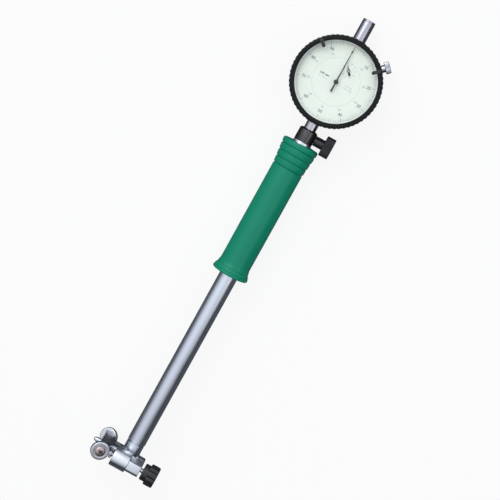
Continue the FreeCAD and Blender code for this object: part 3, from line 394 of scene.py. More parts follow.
@dataclass(frozen=True)
class ClearFinish:
    """Clear crystal: plain transmission with a faintly uneven gloss."""

    name: str
    tint: Colour = (0.97, 1.0, 0.985)
    roughness: float = 0.02
    ior: float = 1.2

    def material(self) -> bpy.types.Material:
        """Make the crystal's material, or find it if it is made already."""
        found = bpy.data.materials.get(self.name)
        if found:
            return found
        material = bpy.data.materials.new(self.name)
        material.use_nodes = True
        tree = material.node_tree
        glass = tree.nodes["Principled BSDF"]
        glass.inputs["Base Color"].default_value = (*self.tint, 1.0)
        glass.inputs["Transmission Weight"].default_value = 1.0
        glass.inputs["IOR"].default_value = self.ior
        smear = tree.nodes.new("ShaderNodeGroup")
        smear.node_tree = FILM
        smear.inputs["Amount"].default_value = 0.03
        tree.links.new(math_node(tree, "ADD", smear.outputs["Mask"], self.roughness),
                       glass.inputs["Roughness"])
        through = tree.nodes.new("ShaderNodeBsdfTransparent")
        path = tree.nodes.new("ShaderNodeLightPath")
        mix = tree.nodes.new("ShaderNodeMixShader")
        tree.links.new(path.outputs["Is Shadow Ray"], mix.inputs[0])
        tree.links.new(glass.outputs[0], mix.inputs[1])
        tree.links.new(through.outputs[0], mix.inputs[2])
        tree.links.new(mix.outputs[0], tree.nodes["Material Output"].inputs["Surface"])
        return material


GREEN_GRIP = Finish("green_grip", (0.0, 0.275, 0.155), roughness=0.36, spread=0.10, depth=0.5, bump=0.00003,
                    worn=(0.0, 0.42, 0.28), wear=0.2, film=0.02, film_colour=(0.0, 0.30, 0.2), specular=0.3)
BLACK_PLASTIC = Finish("black_plastic", (0.006, 0.006, 0.007), roughness=0.36, depth=0.6,
                       worn=(0.07, 0.07, 0.07),
                       wear=0.4, film=0.04, film_colour=(0.03, 0.03, 0.03), specular=0.2)
BLACK_BEZEL = Finish("black_bezel", (0.005, 0.006, 0.006), roughness=0.34, worn=(0.09, 0.09, 0.095),
                     wear=0.35,
                     film=0.03, film_colour=(0.02, 0.02, 0.02), specular=0.2)
BLACK_CASE = Finish("black_case", (0.012, 0.013, 0.014), specular=0.35, roughness=0.42, depth=0.8,
                    worn=(0.14, 0.14, 0.14), wear=0.35, film=0.06, film_colour=(0.07, 0.07, 0.07))
BLACK_COVER = Finish("black_cover", (0.018, 0.019, 0.02), metallic=0.3, roughness=0.38, rings=0.9,
                     rings_per_metre=2500.0, worn=(0.16, 0.16, 0.16), wear=0.3, film=0.06,
                     film_colour=(0.08, 0.08, 0.08))
GUNMETAL = Finish("gunmetal_collar", (0.10, 0.092, 0.095), metallic=0.9, roughness=0.26, rings=0.5,
                  worn=(0.4, 0.4, 0.42), wear=0.5)
# Near black sleeve: painted shade where the collar's slit opens.
PAINTED_SHADE_SLEEVE = Finish("painted_shade_sleeve", (0.03, 0.028, 0.03), metallic=0.6, roughness=0.4)
TUBE_STEEL = Finish("tube_steel", (0.76, 0.80, 0.88), metallic=1.0, roughness=0.30, spread=0.10,
                    streaks=(2600.0, 60.0, 2600.0), depth=0.25, drift=0.03, film=0.05,
                    film_colour=(0.4, 0.42, 0.46))
HEAD_CHROME = Finish("head_chrome", (0.82, 0.85, 0.90), metallic=1.0, roughness=0.26, spread=0.08, depth=0.25,
                     worn=(0.85, 0.86, 0.88), wear=0.3, drift=0.04)
TURNED_STEEL = Finish("turned_steel", (0.55, 0.56, 0.60), metallic=1.0, roughness=0.22, rings=0.35,
                      rings_per_metre=3500.0, drift=0.04)
CAP_STEEL = Finish("cap_steel", (0.50, 0.50, 0.56), metallic=1.0, roughness=0.27, rings=0.4, drift=0.04)
GREY_ANVIL = Finish("grey_anvil", (0.33, 0.34, 0.35), metallic=0.9, roughness=0.36, rings=0.5)
# Dark steel: the bell crank's own finish; on the bridge beam's faces above and below and on the rear guide
# rod its darkness is painted shade.
DARK_STEEL_AND_SHADE = Finish("dark_steel", (0.11, 0.115, 0.13), metallic=0.8, roughness=0.42, depth=0.6,
                    worn=(0.5, 0.51, 0.54), wear=0.35)
BRIGHT_FLANK = Finish("bright_flank", (0.66, 0.69, 0.74), metallic=1.0, roughness=0.24, depth=0.3,
                      streaks=(300.0, 4000.0, 4000.0))
SCREW_COPPER = Finish("screw_copper", (0.62, 0.50, 0.49), metallic=0.95, roughness=0.28, rings=0.3,
                      worn=(0.75, 0.62, 0.6), wear=0.3)
BRASS = Finish("works_brass", (0.62, 0.45, 0.18), metallic=1.0, roughness=0.3, rings=0.2)
SPRING_WIRE = Finish("spring_wire", (0.30, 0.31, 0.33), metallic=1.0, roughness=0.3)
DIAL_MINT = Finish("dial_mint", (0.81, 0.83, 0.755), roughness=0.55, depth=0.15, drift=0.012, spread=0.04)
RING_WHITE = Finish("ring_white", (0.86, 0.88, 0.87), roughness=0.4, depth=0.2, drift=0.01)
# Black ink for print and pointers; in the roller screws' cross recesses it is painted shade.
BLACK_INK_AND_SHADE = Finish("black_ink_and_shade", (0.02, 0.022, 0.024), roughness=0.5, depth=0.1)
INK_GREY = Finish("ink_grey", (0.20, 0.23, 0.22), roughness=0.5, depth=0.1)
INK_PALE = Finish("ink_pale", (0.38, 0.44, 0.41), roughness=0.5, depth=0.1)
CRYSTAL = ClearFinish("clear_crystal")


# ---------------------------------------------------------------- mesh tools

@dataclass(frozen=True)
class Corner:
    """A corner of a turned piece's outline, in millimetres; ripple is the share of the ripple it takes."""

    radius: float
    height: float
    fillet: float = 0.0
    ripple: float = 0.0


def rounded(corners: Sequence[Corner], closed: bool, steps: int = 4) -> list[Corner]:
    """Round the corners of an outline.

    Args:
        corners: the outline's corners.
        closed: whether the last corner joins the first.
        steps: how many facets a fillet gets.

    Returns:
        The outline with an arc in place of each corner that has a fillet.
    """
    made: list[Corner] = []
    count = len(corners)
    for index, corner in enumerate(corners):
        ends = closed or 0 < index < count - 1
        if corner.fillet <= 0 or not ends:
            made.append(corner)
            continue
        here = Vector((corner.radius, corner.height))
        sides = []
        for other in (corners[index - 1], corners[(index + 1) % count]):
            way = Vector((other.radius, other.height)) - here
            sides.append(here + way.normalized() * min(corner.fillet, way.length * 0.45))
        for step in range(steps + 1):
            share = step / steps
            point = sides[0] * (1 - share) ** 2 + here * 2 * share * (1 - share) + sides[1] * share ** 2
            made.append(Corner(point.x, point.y, 0.0, corner.ripple))
    return made


def lathe(corners: Sequence[Corner], closed: bool = False, segments: int = 128, gap: float = 0.0,
          ripple: Optional[Callable[[float, float], float]] = None) -> bmesh.types.BMesh:
    """Turn an outline about the Y axis, starting from +Z.

    Args:
        corners: the outline, in order.
        closed: whether the outline is a loop, as a ring's section is.
        segments: how many facets go round.
        gap: the width of a slit at +Z, in degrees.
        ripple: what the radius gains at an angle and a height, in millimetres.

    Returns:
        The turned mesh, in metres.
    """
    outline = rounded(corners, closed)
    mesh = bmesh.new()
    rings = []
    whole = gap <= 0
    count = segments if whole else segments + 1
    start = math.radians(gap / 2)
    sweep = math.tau - 2 * start
    for index in range(count):
        angle = start + sweep * index / segments
        ring = []
        for corner in outline:
            radius = corner.radius
            if ripple is not None and corner.ripple > 0:
                radius += corner.ripple * ripple(angle, corner.height)
            spot = Vector((radius * math.sin(angle), corner.height, radius * math.cos(angle))) * MM
            ring.append(mesh.verts.new(spot))
        rings.append(ring)
    steps = len(outline) if closed else len(outline) - 1
    for index in range(segments):
        first = rings[index]
        second = rings[(index + 1) % count]
        for step in range(steps):
            after = (step + 1) % len(outline)
            mesh.faces.new((first[step], first[after], second[after], second[step]))
    if not whole and closed:
        mesh.faces.new(rings[0])
        mesh.faces.new(list(reversed(rings[-1])))
    bmesh.ops.remove_doubles(mesh, verts=mesh.verts, dist=1e-7)
    bmesh.ops.dissolve_degenerate(mesh, edges=mesh.edges, dist=1e-8)
    bmesh.ops.recalc_face_normals(mesh, faces=mesh.faces)
    return mesh


def slab(outline: Sequence[tuple[float, float]], low: float, high: float,
         bevel: float = 0.0) -> bmesh.types.BMesh:
    """Give an outline in the X-Y plane a thickness.

    Args:
        outline: its corners in millimetres, in order.
        low: the height of its lower face.
        high: the height of its upper face.
        bevel: the width of the bevel on every edge.

    Returns:
        The mesh, in metres.
    """
    mesh = bmesh.new()
    lower = [mesh.verts.new(Vector((across, along, low)) * MM) for across, along in outline]
    upper = [mesh.verts.new(Vector((across, along, high)) * MM) for across, along in outline]
    count = len(outline)
    mesh.faces.new(upper)
    mesh.faces.new(list(reversed(lower)))
    for index in range(count):
        after = (index + 1) % count
        mesh.faces.new((lower[index], lower[after], upper[after], upper[index]))
    bmesh.ops.recalc_face_normals(mesh, faces=mesh.faces)
    if bevel > 0:
        sharp = [edge for edge in mesh.edges if edge.calc_face_angle(0.0) > math.radians(20)]
        bmesh.ops.bevel(mesh, geom=sharp, offset=bevel * MM, segments=3, profile=0.5, affect="EDGES")
    return mesh


def coil(radius: float, wire: float, length: float, turns: float, facets: int = 10) -> bmesh.types.BMesh:
    """Wind a spring about the Y axis, from the origin up.

    Args:
        radius: the radius of the wire's centre line.
        wire: the wire's diameter.
        length: the spring's overall length.
        turns: how many turns it has.
        facets: how many facets the wire has round it.

    Returns:
        The mesh, in metres.
    """
    mesh = bmesh.new()
    steps = int(turns * 36)
    rings = []
    for step in range(steps + 1):
        share = step / steps
        angle = share * turns * math.tau
        centre = Vector((radius * math.cos(angle), wire / 2 + share * (length - wire),
                         radius * math.sin(angle)))
        outward = Vector((math.cos(angle), 0.0, math.sin(angle)))
        ring = []
        for facet in range(facets):
            turn = facet * math.tau / facets
            spot = centre + outward * (wire / 2 * math.cos(turn)) + Vector((0, wire / 2 * math.sin(turn), 0))
            ring.append(mesh.verts.new(spot * MM))
        rings.append(ring)
    for first, second in zip(rings, rings[1:]):
        for facet in range(facets):
            after = (facet + 1) % facets
            mesh.faces.new((first[facet], first[after], second[after], second[facet]))
    mesh.faces.new(rings[0])
    mesh.faces.new(rings[-1])
    bmesh.ops.recalc_face_normals(mesh, faces=mesh.faces)
    return mesh


def joined(meshes: Sequence[bmesh.types.BMesh]) -> bmesh.types.BMesh:
    """Put several meshes in one.

    Args:
        meshes: the meshes, which are used up.

    Returns:
        One mesh that holds them all.
    """
    whole = bmesh.new()
    for mesh in meshes:
        carrier = bpy.data.meshes.new("carrier")
        mesh.to_mesh(carrier)
        mesh.free()
        whole.from_mesh(carrier)
        bpy.data.meshes.remove(carrier)
    return whole


def moved(mesh: bmesh.types.BMesh, matrix: Matrix) -> bmesh.types.BMesh:
    """Move a mesh.

    Args:
        mesh: the mesh.
        matrix: where to, in metres.

    Returns:
        The same mesh.
    """
    mesh.transform(matrix)
    return mesh


class Maker:
    """Turns meshes into named pieces that ride on their bodies."""

    def __init__(self) -> None:
        """Start with no pieces."""
        self.count = 0

    def piece(self, name: str, mesh: bmesh.types.BMesh, finish: object, body: str,
              at: Sequence[float] = (0, 0, 0),
              along: Matrix = Along.TUBE.value, stands_for: Sequence[str] = (), slot: str = "",
              sharp: float = 32.0) -> bpy.types.Object:
        """Make one piece.

        Args:
            name: the piece's name.
            mesh: its mesh, which is used up.
            finish: its finish.
            body: the CAD body it rides on.
            at: where its origin goes in the gauge, in millimetres.
            along: how it is turned.
            stands_for: the CAD nodes that it replaces.
            slot: the record's material slot for the piece; not used.
            sharp: the angle in degrees above which an edge stays sharp.

        Returns:
            The piece.
        """
        data = bpy.data.meshes.new(name)
        mesh.to_mesh(data)
        mesh.free()
        data.shade_smooth()
        data.set_sharp_from_angle(angle=math.radians(sharp))
        data.materials.append(finish.material())
        made = bpy.data.objects.new(name, data)
        bpy.context.scene.collection.objects.link(made)
        made.matrix_world = GAUGE.pose(at, along)
        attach(made, body)
        if stands_for:
            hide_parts(*stands_for)
        self.count += 1
        LOG.info("%s rides on %s, %d faces", name, body, len(data.polygons))
        return made


MAKE = Maker()


def carved(piece: bpy.types.Object, cutter: bmesh.types.BMesh) -> bpy.types.Object:
    """Cut a shape out of a piece.

    Args:
        piece: the piece to cut.
        cutter: the shape in the piece's own metres, which is used up.

    Returns:
        The piece, cut.
    """
    data = bpy.data.meshes.new("cutter")
    cutter.to_mesh(data)
    cutter.free()
    tool = bpy.data.objects.new("cutter", data)
    bpy.context.scene.collection.objects.link(tool)
    tool.matrix_world = piece.matrix_world
    cut = piece.modifiers.new("cut", "BOOLEAN")
    cut.operation = "DIFFERENCE"
    cut.solver = "EXACT"
    cut.object = tool
    bpy.context.view_layer.update()
    result = bpy.data.meshes.new_from_object(piece.evaluated_get(bpy.context.evaluated_depsgraph_get()))
    piece.modifiers.remove(cut)
    piece.data = result
    result.set_sharp_from_angle(angle=math.radians(32))
    bpy.data.objects.remove(tool)
    return piece


def box(low: Sequence[float], high: Sequence[float], bevel: float = 0.0) -> bmesh.types.BMesh:
    """Make a block.

    Args:
        low: its lowest corner, in millimetres.
        high: its highest corner.
        bevel: the width of the bevel on its edges.

    Returns:
        The mesh, in metres.
    """
    outline = [(low[0], low[1]), (high[0], low[1]), (high[0], high[1]), (low[0], high[1])]
    return slab(outline, low[2], high[2], bevel)


def knurl(depth: float, count: int, lead: float = 0.0) -> Callable[[float, float], float]:
    """Describe a knurl.

    Args:
        depth: how deep it goes.
        count: how many ribs go round.
        lead: how far the ribs twist in a millimetre of height, in radians; 0 gives straight ribs.

    Returns:
        The radius that an angle and a height lose, as a negative number.
    """
    def dip(angle: float, height: float) -> float:
        """Return the dip at one place."""
        first = 0.5 - 0.5 * math.cos(count * (angle + lead * height))
        second = 0.5 - 0.5 * math.cos(count * (angle - lead * height))
        return -depth * (1 - first * second if lead else 1 - first)
    return dip


def lobes(depth: float, count: int) -> Callable[[float, float], float]:
    """Describe a lobed edge.

    Args:
        depth: how deep the hollows go.
        count: how many there are.

    Returns:
        The radius that an angle loses, as a negative number.
    """
    def dip(angle: float, _height: float) -> float:
        """Return the dip at one angle."""
        return -depth * max(0.0, math.cos(count * angle)) ** 1.5
    return dip


def lettering(text: str, size: float, weight: float = 0.0) -> bmesh.types.BMesh:
    """Set a word in thin raised ink, centred on the origin in the X-Y plane.

    Args:
        text: the word or number.
        size: the letters' height setting, in millimetres.
        weight: how much the strokes are thickened.

    Returns:
        The mesh, in metres.
    """
    curve = bpy.data.curves.new("ink", "FONT")
    curve.body = text
    curve.size = size * MM
    curve.align_x = "CENTER"
    curve.align_y = "CENTER"
    curve.extrude = 0.00001
    curve.offset = weight * MM
    curve.resolution_u = 3
    holder = bpy.data.objects.new("ink", curve)
    bpy.context.scene.collection.objects.link(holder)
    bpy.context.view_layer.update()
    data = bpy.data.meshes.new_from_object(holder.evaluated_get(bpy.context.evaluated_depsgraph_get()))
    mesh = bmesh.new()
    mesh.from_mesh(data)
    bpy.data.objects.remove(holder)
    bpy.data.curves.remove(curve)
    bpy.data.meshes.remove(data)
    return mesh


def turn_to(way: Sequence[float]) -> Matrix:
    """Turn a lathe's axis.

    Args:
        way: the direction of the gauge that +Y is to take.

    Returns:
        The turn.
    """
    return Vector((0, 1, 0)).rotation_difference(Vector(way)).to_matrix().to_4x4()


def joint_way(name: str) -> Vector:
    """Find a joint's axis.

    Args:
        name: the joint's name.

    Returns:
        Its axis as a direction of the gauge.
    """
    axis = next(joint["axis"] for joint in frame["joints"] if joint["name"] == name)
    return (GAUGE.matrix.to_3x3().inverted() @ Vector(axis)).normalized()


# ---------------------------------------------------------------- the dial indicator

@dataclass
class IndicatorBody:
    """What the clamp holds: case, back cover with its screws, stem and dust cap."""

    wall: float = 2.0
    web_drop: float = 0.6
    cover_edge: float = 0.6
    screw_radius: float = 1.7
    screw_slot: float = 0.5
    slot_depth: float = 0.4
    groove: float = 0.22
    body: str = "indicator"

    def build(self) -> None:
        """Build the housing's pieces."""
        self.case()
        self.cover()
        self.screws()
        self.stem()
        self.cap()

    def case(self) -> None:
        """Turn the case, with a step behind the bezel."""
        low, high = GAUGE.extent("indicator_case")
        front = GAUGE.extent("centre_face")[0].z - self.web_drop
        radius = high.x
        corners = [Corner(radius - self.wall, low.z), Corner(radius, low.z, 0.5),
                   Corner(radius, front - 0.3, 0.1),
                   Corner(radius - self.wall, front), Corner(0, front)]
        MAKE.piece("case_shell", lathe(corners, segments=160), BLACK_CASE, self.body, along=Along.DIAL.value,
                   stands_for=["indicator_case"], slot="black_metal")

    def cover(self) -> None:
        """Turn the back cover: a flat disc with a raised rim line."""
        low, high = GAUGE.extent("back_cover")
        radius = high.x
        corners = [Corner(0, high.z), Corner(radius, high.z), Corner(radius, low.z, self.cover_edge),
                   Corner(radius - 1.6, low.z, 0.05), Corner(radius - 1.75, low.z + self.groove, 0.05),
                   Corner(radius - 2.1, low.z + self.groove, 0.05), Corner(radius - 2.25, low.z, 0.05),
                   Corner(0, low.z)]
        MAKE.piece("cover_disc", lathe(corners, segments=160), BLACK_COVER, self.body, along=Along.DIAL.value,
                   stands_for=["back_cover"], slot="black_metal")

    def screws(self) -> None:
        """Make the four slotted screws, flush with the cover."""
        low, high = GAUGE.extent("back_cover_screws")
        reach = (high.x - self.screw_radius) * math.sqrt(2)
        heads = []
        for index in range(4):
            turn = math.radians(45 + 90 * index)
            spot = Vector((reach * math.cos(turn), reach * math.sin(turn), low.z)) * MM
            heads.append(moved(self.screw_head(23 + 41 * index), Matrix.Translation(spot)))
        MAKE.piece("cover_screws", joined(heads), TURNED_STEEL, self.body, stands_for=["back_cover_screws"],
                   slot="dark_steel")

    def screw_head(self, turned: float) -> bmesh.types.BMesh:
        """Make one screw head that looks down -Z from z = 0.

        Args:
            turned: how far its slot is turned, in degrees.

        Returns:
            The mesh.
        """
        radius = self.screw_radius - 0.04
        half = self.screw_slot / 2
        first = math.asin(half / radius)
        halves = []
        for side in (0.0, math.pi):
            outline = []
            for step in range(17):
                angle = first + (math.pi - 2 * first) * step / 16 + side
                outline.append((radius * math.cos(angle), radius * math.sin(angle)))
            halves.append(slab(outline, 0.005, self.slot_depth, 0.06))
        floor = [(radius * math.cos(math.tau * step / 32), radius * math.sin(math.tau * step / 32))
                 for step in range(32)]
        halves.append(slab(floor, self.slot_depth - 0.02, 1.2))
        return moved(joined(halves), Matrix.Rotation(math.radians(turned), 4, "Z"))

    def stem(self) -> None:
        """Turn the stem, hollow for the spindle."""
        low, high = GAUGE.extent("stem")
        inner = 2.3
        corners = [Corner(inner, low.y), Corner(high.x, low.y, 0.4), Corner(high.x, high.y),
                   Corner(inner, high.y)]
        MAKE.piece("stem_sleeve", lathe(corners, closed=True), TURNED_STEEL, self.body, stands_for=["stem"],
                   slot="steel")

    def cap(self) -> None:
        """Turn the dust cap over the spindle's free end, with a fine line near its end."""
        low, high = GAUGE.extent("dust_cap")
        radius = high.x
        end = high.y
        corners = [Corner(2.7, end - 1.4), Corner(2.7, low.y), Corner(radius, low.y),
                   Corner(radius, end - 1.5, 0.04), Corner(radius - self.groove, end - 1.4, 0.04),
                   Corner(radius - self.groove, end - 1.15, 0.04), Corner(radius, end - 1.05, 0.04),
                   Corner(radius, end, 0.7), Corner(0, end)]
        MAKE.piece("dust_cap_turned", lathe(corners), CAP_STEEL, self.body, stands_for=["dust_cap"],
                   slot="chrome")


@dataclass
class DialFace:
    """The printed faces: the ring with the scale, which turns with the bezel, and the fixed centre."""

    divisions: int = 100
    tick_outer: float = 25.0
    tick_lengths: tuple[float, float, float] = (1.5, 2.0, 2.5)
    tick_widths: tuple[float, float, float] = (0.13, 0.16, 0.24)
    outer_radius: float = 20.3
    outer_size: float = 2.7
    inner_radius: float = 17.3
    inner_size: float = 1.75
    counter_radius: float = 4.25
    counter_size: float = 1.2
    counter_ring: float = 3.4
    print_height: float = 0.03

    def build(self) -> None:
        """Build the faces and what is printed on them."""
        self.ring()
        self.centre()
        self.scale()
        self.numbers()
        self.counter()
        self.notes()

    def level(self) -> float:
        """Return the height of the printed face."""
        return GAUGE.extent("scale_ring")[1].z

    def ring(self) -> None:
        """Turn the ring that carries the scale."""
        low, high = GAUGE.extent("scale_ring")
        inner = GAUGE.extent("centre_face")[1].x + 0.05
        corners = [Corner(inner, low.z), Corner(high.x, low.z), Corner(high.x, high.z), Corner(inner, high.z)]
        MAKE.piece("scale_ring_face", lathe(corners, closed=True), DIAL_MINT, "bezel", along=Along.DIAL.value,
                   stands_for=["scale_ring"], slot="dial_face")

    def centre(self) -> None:
        """Turn the fixed middle of the face."""
        low, high = GAUGE.extent("centre_face")
        corners = [Corner(0, low.z), Corner(high.x, low.z), Corner(high.x, high.z), Corner(0, high.z)]
        MAKE.piece("centre_face_disc", lathe(corners), DIAL_MINT, "indicator", along=Along.DIAL.value,
                   stands_for=["centre_face"], slot="dial_face")

    def strokes(self, count: int, outer: float, lengths: Sequence[float], widths: Sequence[float],
                long_every: int) -> bmesh.types.BMesh:
        """Draw a ring of strokes about the origin.

        Args:
            count: how many strokes go round.
            outer: the radius of their outer ends.
            lengths: the length of a short, a middle and a long stroke.
            widths: the width of each kind.
            long_every: every so many strokes is a long one, and half way between them a middle one.

        Returns:
            The mesh.
        """
        made = []
        for index in range(count):
            kind = 0
            if index % long_every == 0:
                kind = 2
            elif long_every % 2 == 0 and index % (long_every // 2) == 0:
                kind = 1
            half = widths[kind] / 2
            stroke = box((-half, outer - lengths[kind], 0.0), (half, outer, self.print_height))
            made.append(moved(stroke, Matrix.Rotation(-math.tau * index / count, 4, "Z")))
        return joined(made)

    def scale(self) -> None:
        """Print the hundred divisions."""
        mesh = self.strokes(self.divisions, self.tick_outer, self.tick_lengths, self.tick_widths, 10)
        MAKE.piece("scale_strokes", mesh, INK_GREY, "bezel", at=(0, 0, self.level() - 0.01), slot="dial_face")

    def numerals(self, words: Sequence[str], radius: float, size: float, weight: float) -> bmesh.types.BMesh:
        """Set numbers clockwise round the origin from the top, each upright.

        Args:
            words: the numbers.
            radius: the circle that their middles lie on.
            size: the figures' size.
            weight: how much their strokes are thickened.

        Returns:
            The mesh.
        """
        made = []
        for index, word in enumerate(words):
            angle = math.tau * index / len(words)
            spot = Vector((radius * math.sin(angle), radius * math.cos(angle), 0.0)) * MM
            made.append(moved(lettering(word, size, weight), Matrix.Translation(spot)))
        return joined(made)

    def numbers(self) -> None:
        """Print the outer numbers, which count clockwise, and the paler inner ones, which count back."""
        height = self.level() + 0.012
        outer = self.numerals([str(10 * index) for index in range(10)], self.outer_radius, self.outer_size,
                              0.05)
        MAKE.piece("outer_numbers", outer, INK_GREY, "bezel", at=(0, 0, height), slot="dial_face")
        inner = self.numerals([str(10 * ((10 - index) % 10)) for index in range(10)], self.inner_radius,
                              self.inner_size, 0.02)
        MAKE.piece("inner_numbers", inner, INK_PALE, "bezel", at=(0, 0, height), slot="dial_face")

    def counter(self) -> None:
        """Print the small dial that counts turns."""
        low, high = GAUGE.extent("revolution_arbor")
        centre = ((low.x + high.x) / 2, (low.y + high.y) / 2)
        height = self.level()
        strokes = self.strokes(20, self.counter_ring, (0.35, 0.35, 0.6), (0.1, 0.1, 0.12), 2)
        MAKE.piece("counter_strokes", strokes, INK_GREY, "indicator", at=(*centre, height - 0.01),
                   slot="dial_face")
        numbers = self.numerals([str(index) for index in range(10)], self.counter_radius, self.counter_size,
                                0.02)
        MAKE.piece("counter_numbers", numbers, INK_GREY, "indicator", at=(*centre, height + 0.012),
                   slot="dial_face")

    def notes(self) -> None:
        """Print what a division and a turn are worth, left and right of the pointer."""
        height = self.level() + 0.012
        lines = [("0.01 mm", -8.4, 1.0, 1.7, 0.06, BLACK_INK_AND_SHADE), ("0 - 10 mm", -8.4, -1.0, 1.35, 0.0, INK_PALE),
                 ("1 div 0.01", 8.2, 0.6, 1.3, 0.0, INK_PALE), ("1 turn 1.00", 8.2, -1.1, 1.3, 0.0, INK_PALE)]
        for index, (words, across, along, size, weight, ink) in enumerate(lines):
            MAKE.piece(f"dial_note_{index + 1}", lettering(words, size, weight), ink, "indicator",
                       at=(across, along, height), slot="dial_face")


@dataclass
class Bezel:
    """The turning bezel with its crystal, white ring, limit hands and clamp screw."""

    clamp_reach: float = 5.6
    clamp_head_length: float = 3.2
    clamp_shank: float = 1.2
    clamp_neck: float = 2.3
    clamp_head: float = 3.8
    clamp_gap: float = 0.3
    scallops: int = 60
    scallop_depth: float = 0.35
    opening: float = 25.7
    seat: float = 0.35
    ledge: float = 0.9
    ring_width: float = 0.8
    tab_width: float = 2.2
    tab_inner: float = 22.3
    knurls: int = 36

    def build(self) -> None:
        """Build the bezel's pieces."""
        self.rim()
        self.crystal()
        self.white_ring()
        self.limit_hands()
        self.clamp_screw()

    def rim(self) -> None:
        """Turn the rim and scallop its edge."""
        low, high = GAUGE.extent("bezel")
        outer = high.x
        skirt = GAUGE.extent("indicator_case")[1].x + 0.05
        glass_low, glass_high = (corner.z for corner in GAUGE.extent("crystal"))
        face = GAUGE.extent("scale_ring")[0].z
        corners = [Corner(skirt, low.z, 0.1), Corner(outer, low.z, 0.6, 1.0), Corner(outer, high.z, 1.0, 1.0),
                   Corner(self.opening, high.z, 0.45), Corner(self.opening, glass_high),
                   Corner(self.opening + self.seat, glass_high), Corner(self.opening + self.seat, glass_low),
                   Corner(self.opening, glass_low), Corner(self.opening, face),
                   Corner(self.opening - self.ledge, face), Corner(self.opening - self.ledge, face - 0.3),
                   Corner(skirt, face - 0.3)]
        mesh = lathe(corners, closed=True, segments=self.scallops * 8,
                     ripple=lambda angle, height: -self.scallop_depth * max(0.0,
                                                                            math.cos(self.scallops * angle)))
        MAKE.piece("bezel_rim", mesh, BLACK_BEZEL, "bezel", along=Along.DIAL.value, stands_for=["bezel"],
                   slot="black_metal", sharp=40)

    def crystal(self) -> None:
        """Turn the crystal: a flat disc with a rounded edge."""
        low, high = GAUGE.extent("crystal")
        corners = [Corner(0, low.z), Corner(high.x, low.z, 0.1), Corner(high.x, high.z, 0.2),
                   Corner(0, high.z)]
        MAKE.piece("crystal_disc", lathe(corners, segments=160), CRYSTAL, "bezel", along=Along.DIAL.value,
                   stands_for=["crystal"], slot="crystal")

    def white_ring(self) -> None:
        """Turn the white ring that holds the crystal from below."""
        low, high = GAUGE.extent("crystal_ring")
        outer = high.x
        corners = [Corner(outer - self.ring_width, low.z, 0.15), Corner(outer, low.z), Corner(outer, high.z),
                   Corner(outer - self.ring_width / 2, high.z, 0.1)]
        MAKE.piece("white_ring_turned", lathe(corners, closed=True, segments=160), RING_WHITE, "bezel",
                   along=Along.DIAL.value, stands_for=["crystal_ring"], slot="white_ring")

    def limit_hands(self) -> None:
        """Make the two limit hands, round-ended tabs that lie on the rim."""
        for name in ("left", "right"):
            low, high = GAUGE.extent(f"limit_hand_{name}")
            half = self.tab_width / 2
            outer = GAUGE.extent("bezel")[1].x - 0.95
            outline = [(half, outer), (-half, outer), (-half, self.tab_inner + half)]
            for step in range(1, 12):
                angle = math.pi + math.pi * step / 12
                outline.append((half * math.cos(angle), self.tab_inner + half + half * math.sin(angle)))
            outline.append((half, self.tab_inner + half))
            angle = math.atan2(-(low.x + high.x) / 2, (low.y + high.y) / 2)
            MAKE.piece(f"limit_tab_{name}", slab(outline, low.z + 0.01, high.z, 0.15), BLACK_PLASTIC,
                       f"limit_{name}", along=Matrix.Rotation(angle, 4, "Z"),
                       stands_for=[f"limit_hand_{name}"],
                       slot="black_plastic")

    def clamp_screw(self) -> None:
        """Turn the small knurled screw that locks the bezel."""
        low, high = GAUGE.extent("bezel_clamp_screw")
        rim = GAUGE.extent("bezel")[1].x
        case = GAUGE.extent("indicator_case")[1].x
        top = rim + self.clamp_reach
        head = top - self.clamp_head_length
        corners = [Corner(0, case - 1), Corner(self.clamp_shank, case - 1),
                   Corner(self.clamp_shank, case + self.clamp_gap),
                   Corner(self.clamp_neck, case + self.clamp_gap, 0.1),
                   Corner(self.clamp_neck, head), Corner(self.clamp_head, head, 0.35, 1.0),
                   Corner(self.clamp_head, top, 0.5, 1.0),
                   Corner(2.5, top, 0.15), Corner(self.clamp_neck, top - 0.3, 0.1), Corner(0, top - 0.3)]
        mesh = lathe(corners, segments=self.knurls * 8, ripple=knurl(0.22, self.knurls))
        MAKE.piece("bezel_screw_turned", mesh, TURNED_STEEL, "bezel_screw", at=(0, 0, (low.z + high.z) / 2),
                   along=turn_to(joint_way("bezel_screw_turn")), stands_for=["bezel_clamp_screw"],
                   slot="chrome",
                   sharp=45)


@dataclass
class Pointers:
    """The two pointers' hubs and blades over the dial."""

    hub: float = 1.5
    tip_half: float = 0.17
    root_half: float = 0.46
    tail_half: float = 0.55
    blade_edge: float = 0.03
    hub_bore: float = 0.62
    dip_rim: float = 0.5
    dip_floor: float = 0.45
    dip_depth: float = 0.12

    def build(self) -> None:
        """Build the main pointer; the revolution pointer stays as it is and is painted."""
        low, high = GAUGE.extent("main_pointer")
        blade_low = low.z + (high.z - low.z) / 3
        blade_high = low.z + 2 * (high.z - low.z) / 3
        outline = [(-self.tip_half, high.y), (-self.root_half, 0.0), (-self.tail_half, low.y),
                   (self.tail_half, low.y), (self.root_half, 0.0), (self.tip_half, high.y)]
        blade = slab(outline, blade_low, blade_high, self.blade_edge)
        dip = high.z - self.dip_depth
        hub = lathe([Corner(self.hub_bore, low.z), Corner(self.hub, low.z, 0.1),
                     Corner(self.hub, high.z, 0.2),
                     Corner(self.dip_rim, high.z, 0.05), Corner(self.dip_floor, dip), Corner(0, dip)],
                    segments=48)
        MAKE.piece("pointer_blade", joined([blade, moved(hub, Along.DIAL.value)]), BLACK_INK_AND_SHADE, "centre_arbor",
                   stands_for=["main_pointer"], slot="black_metal")


# ---------------------------------------------------------------- clamp, tube and grip

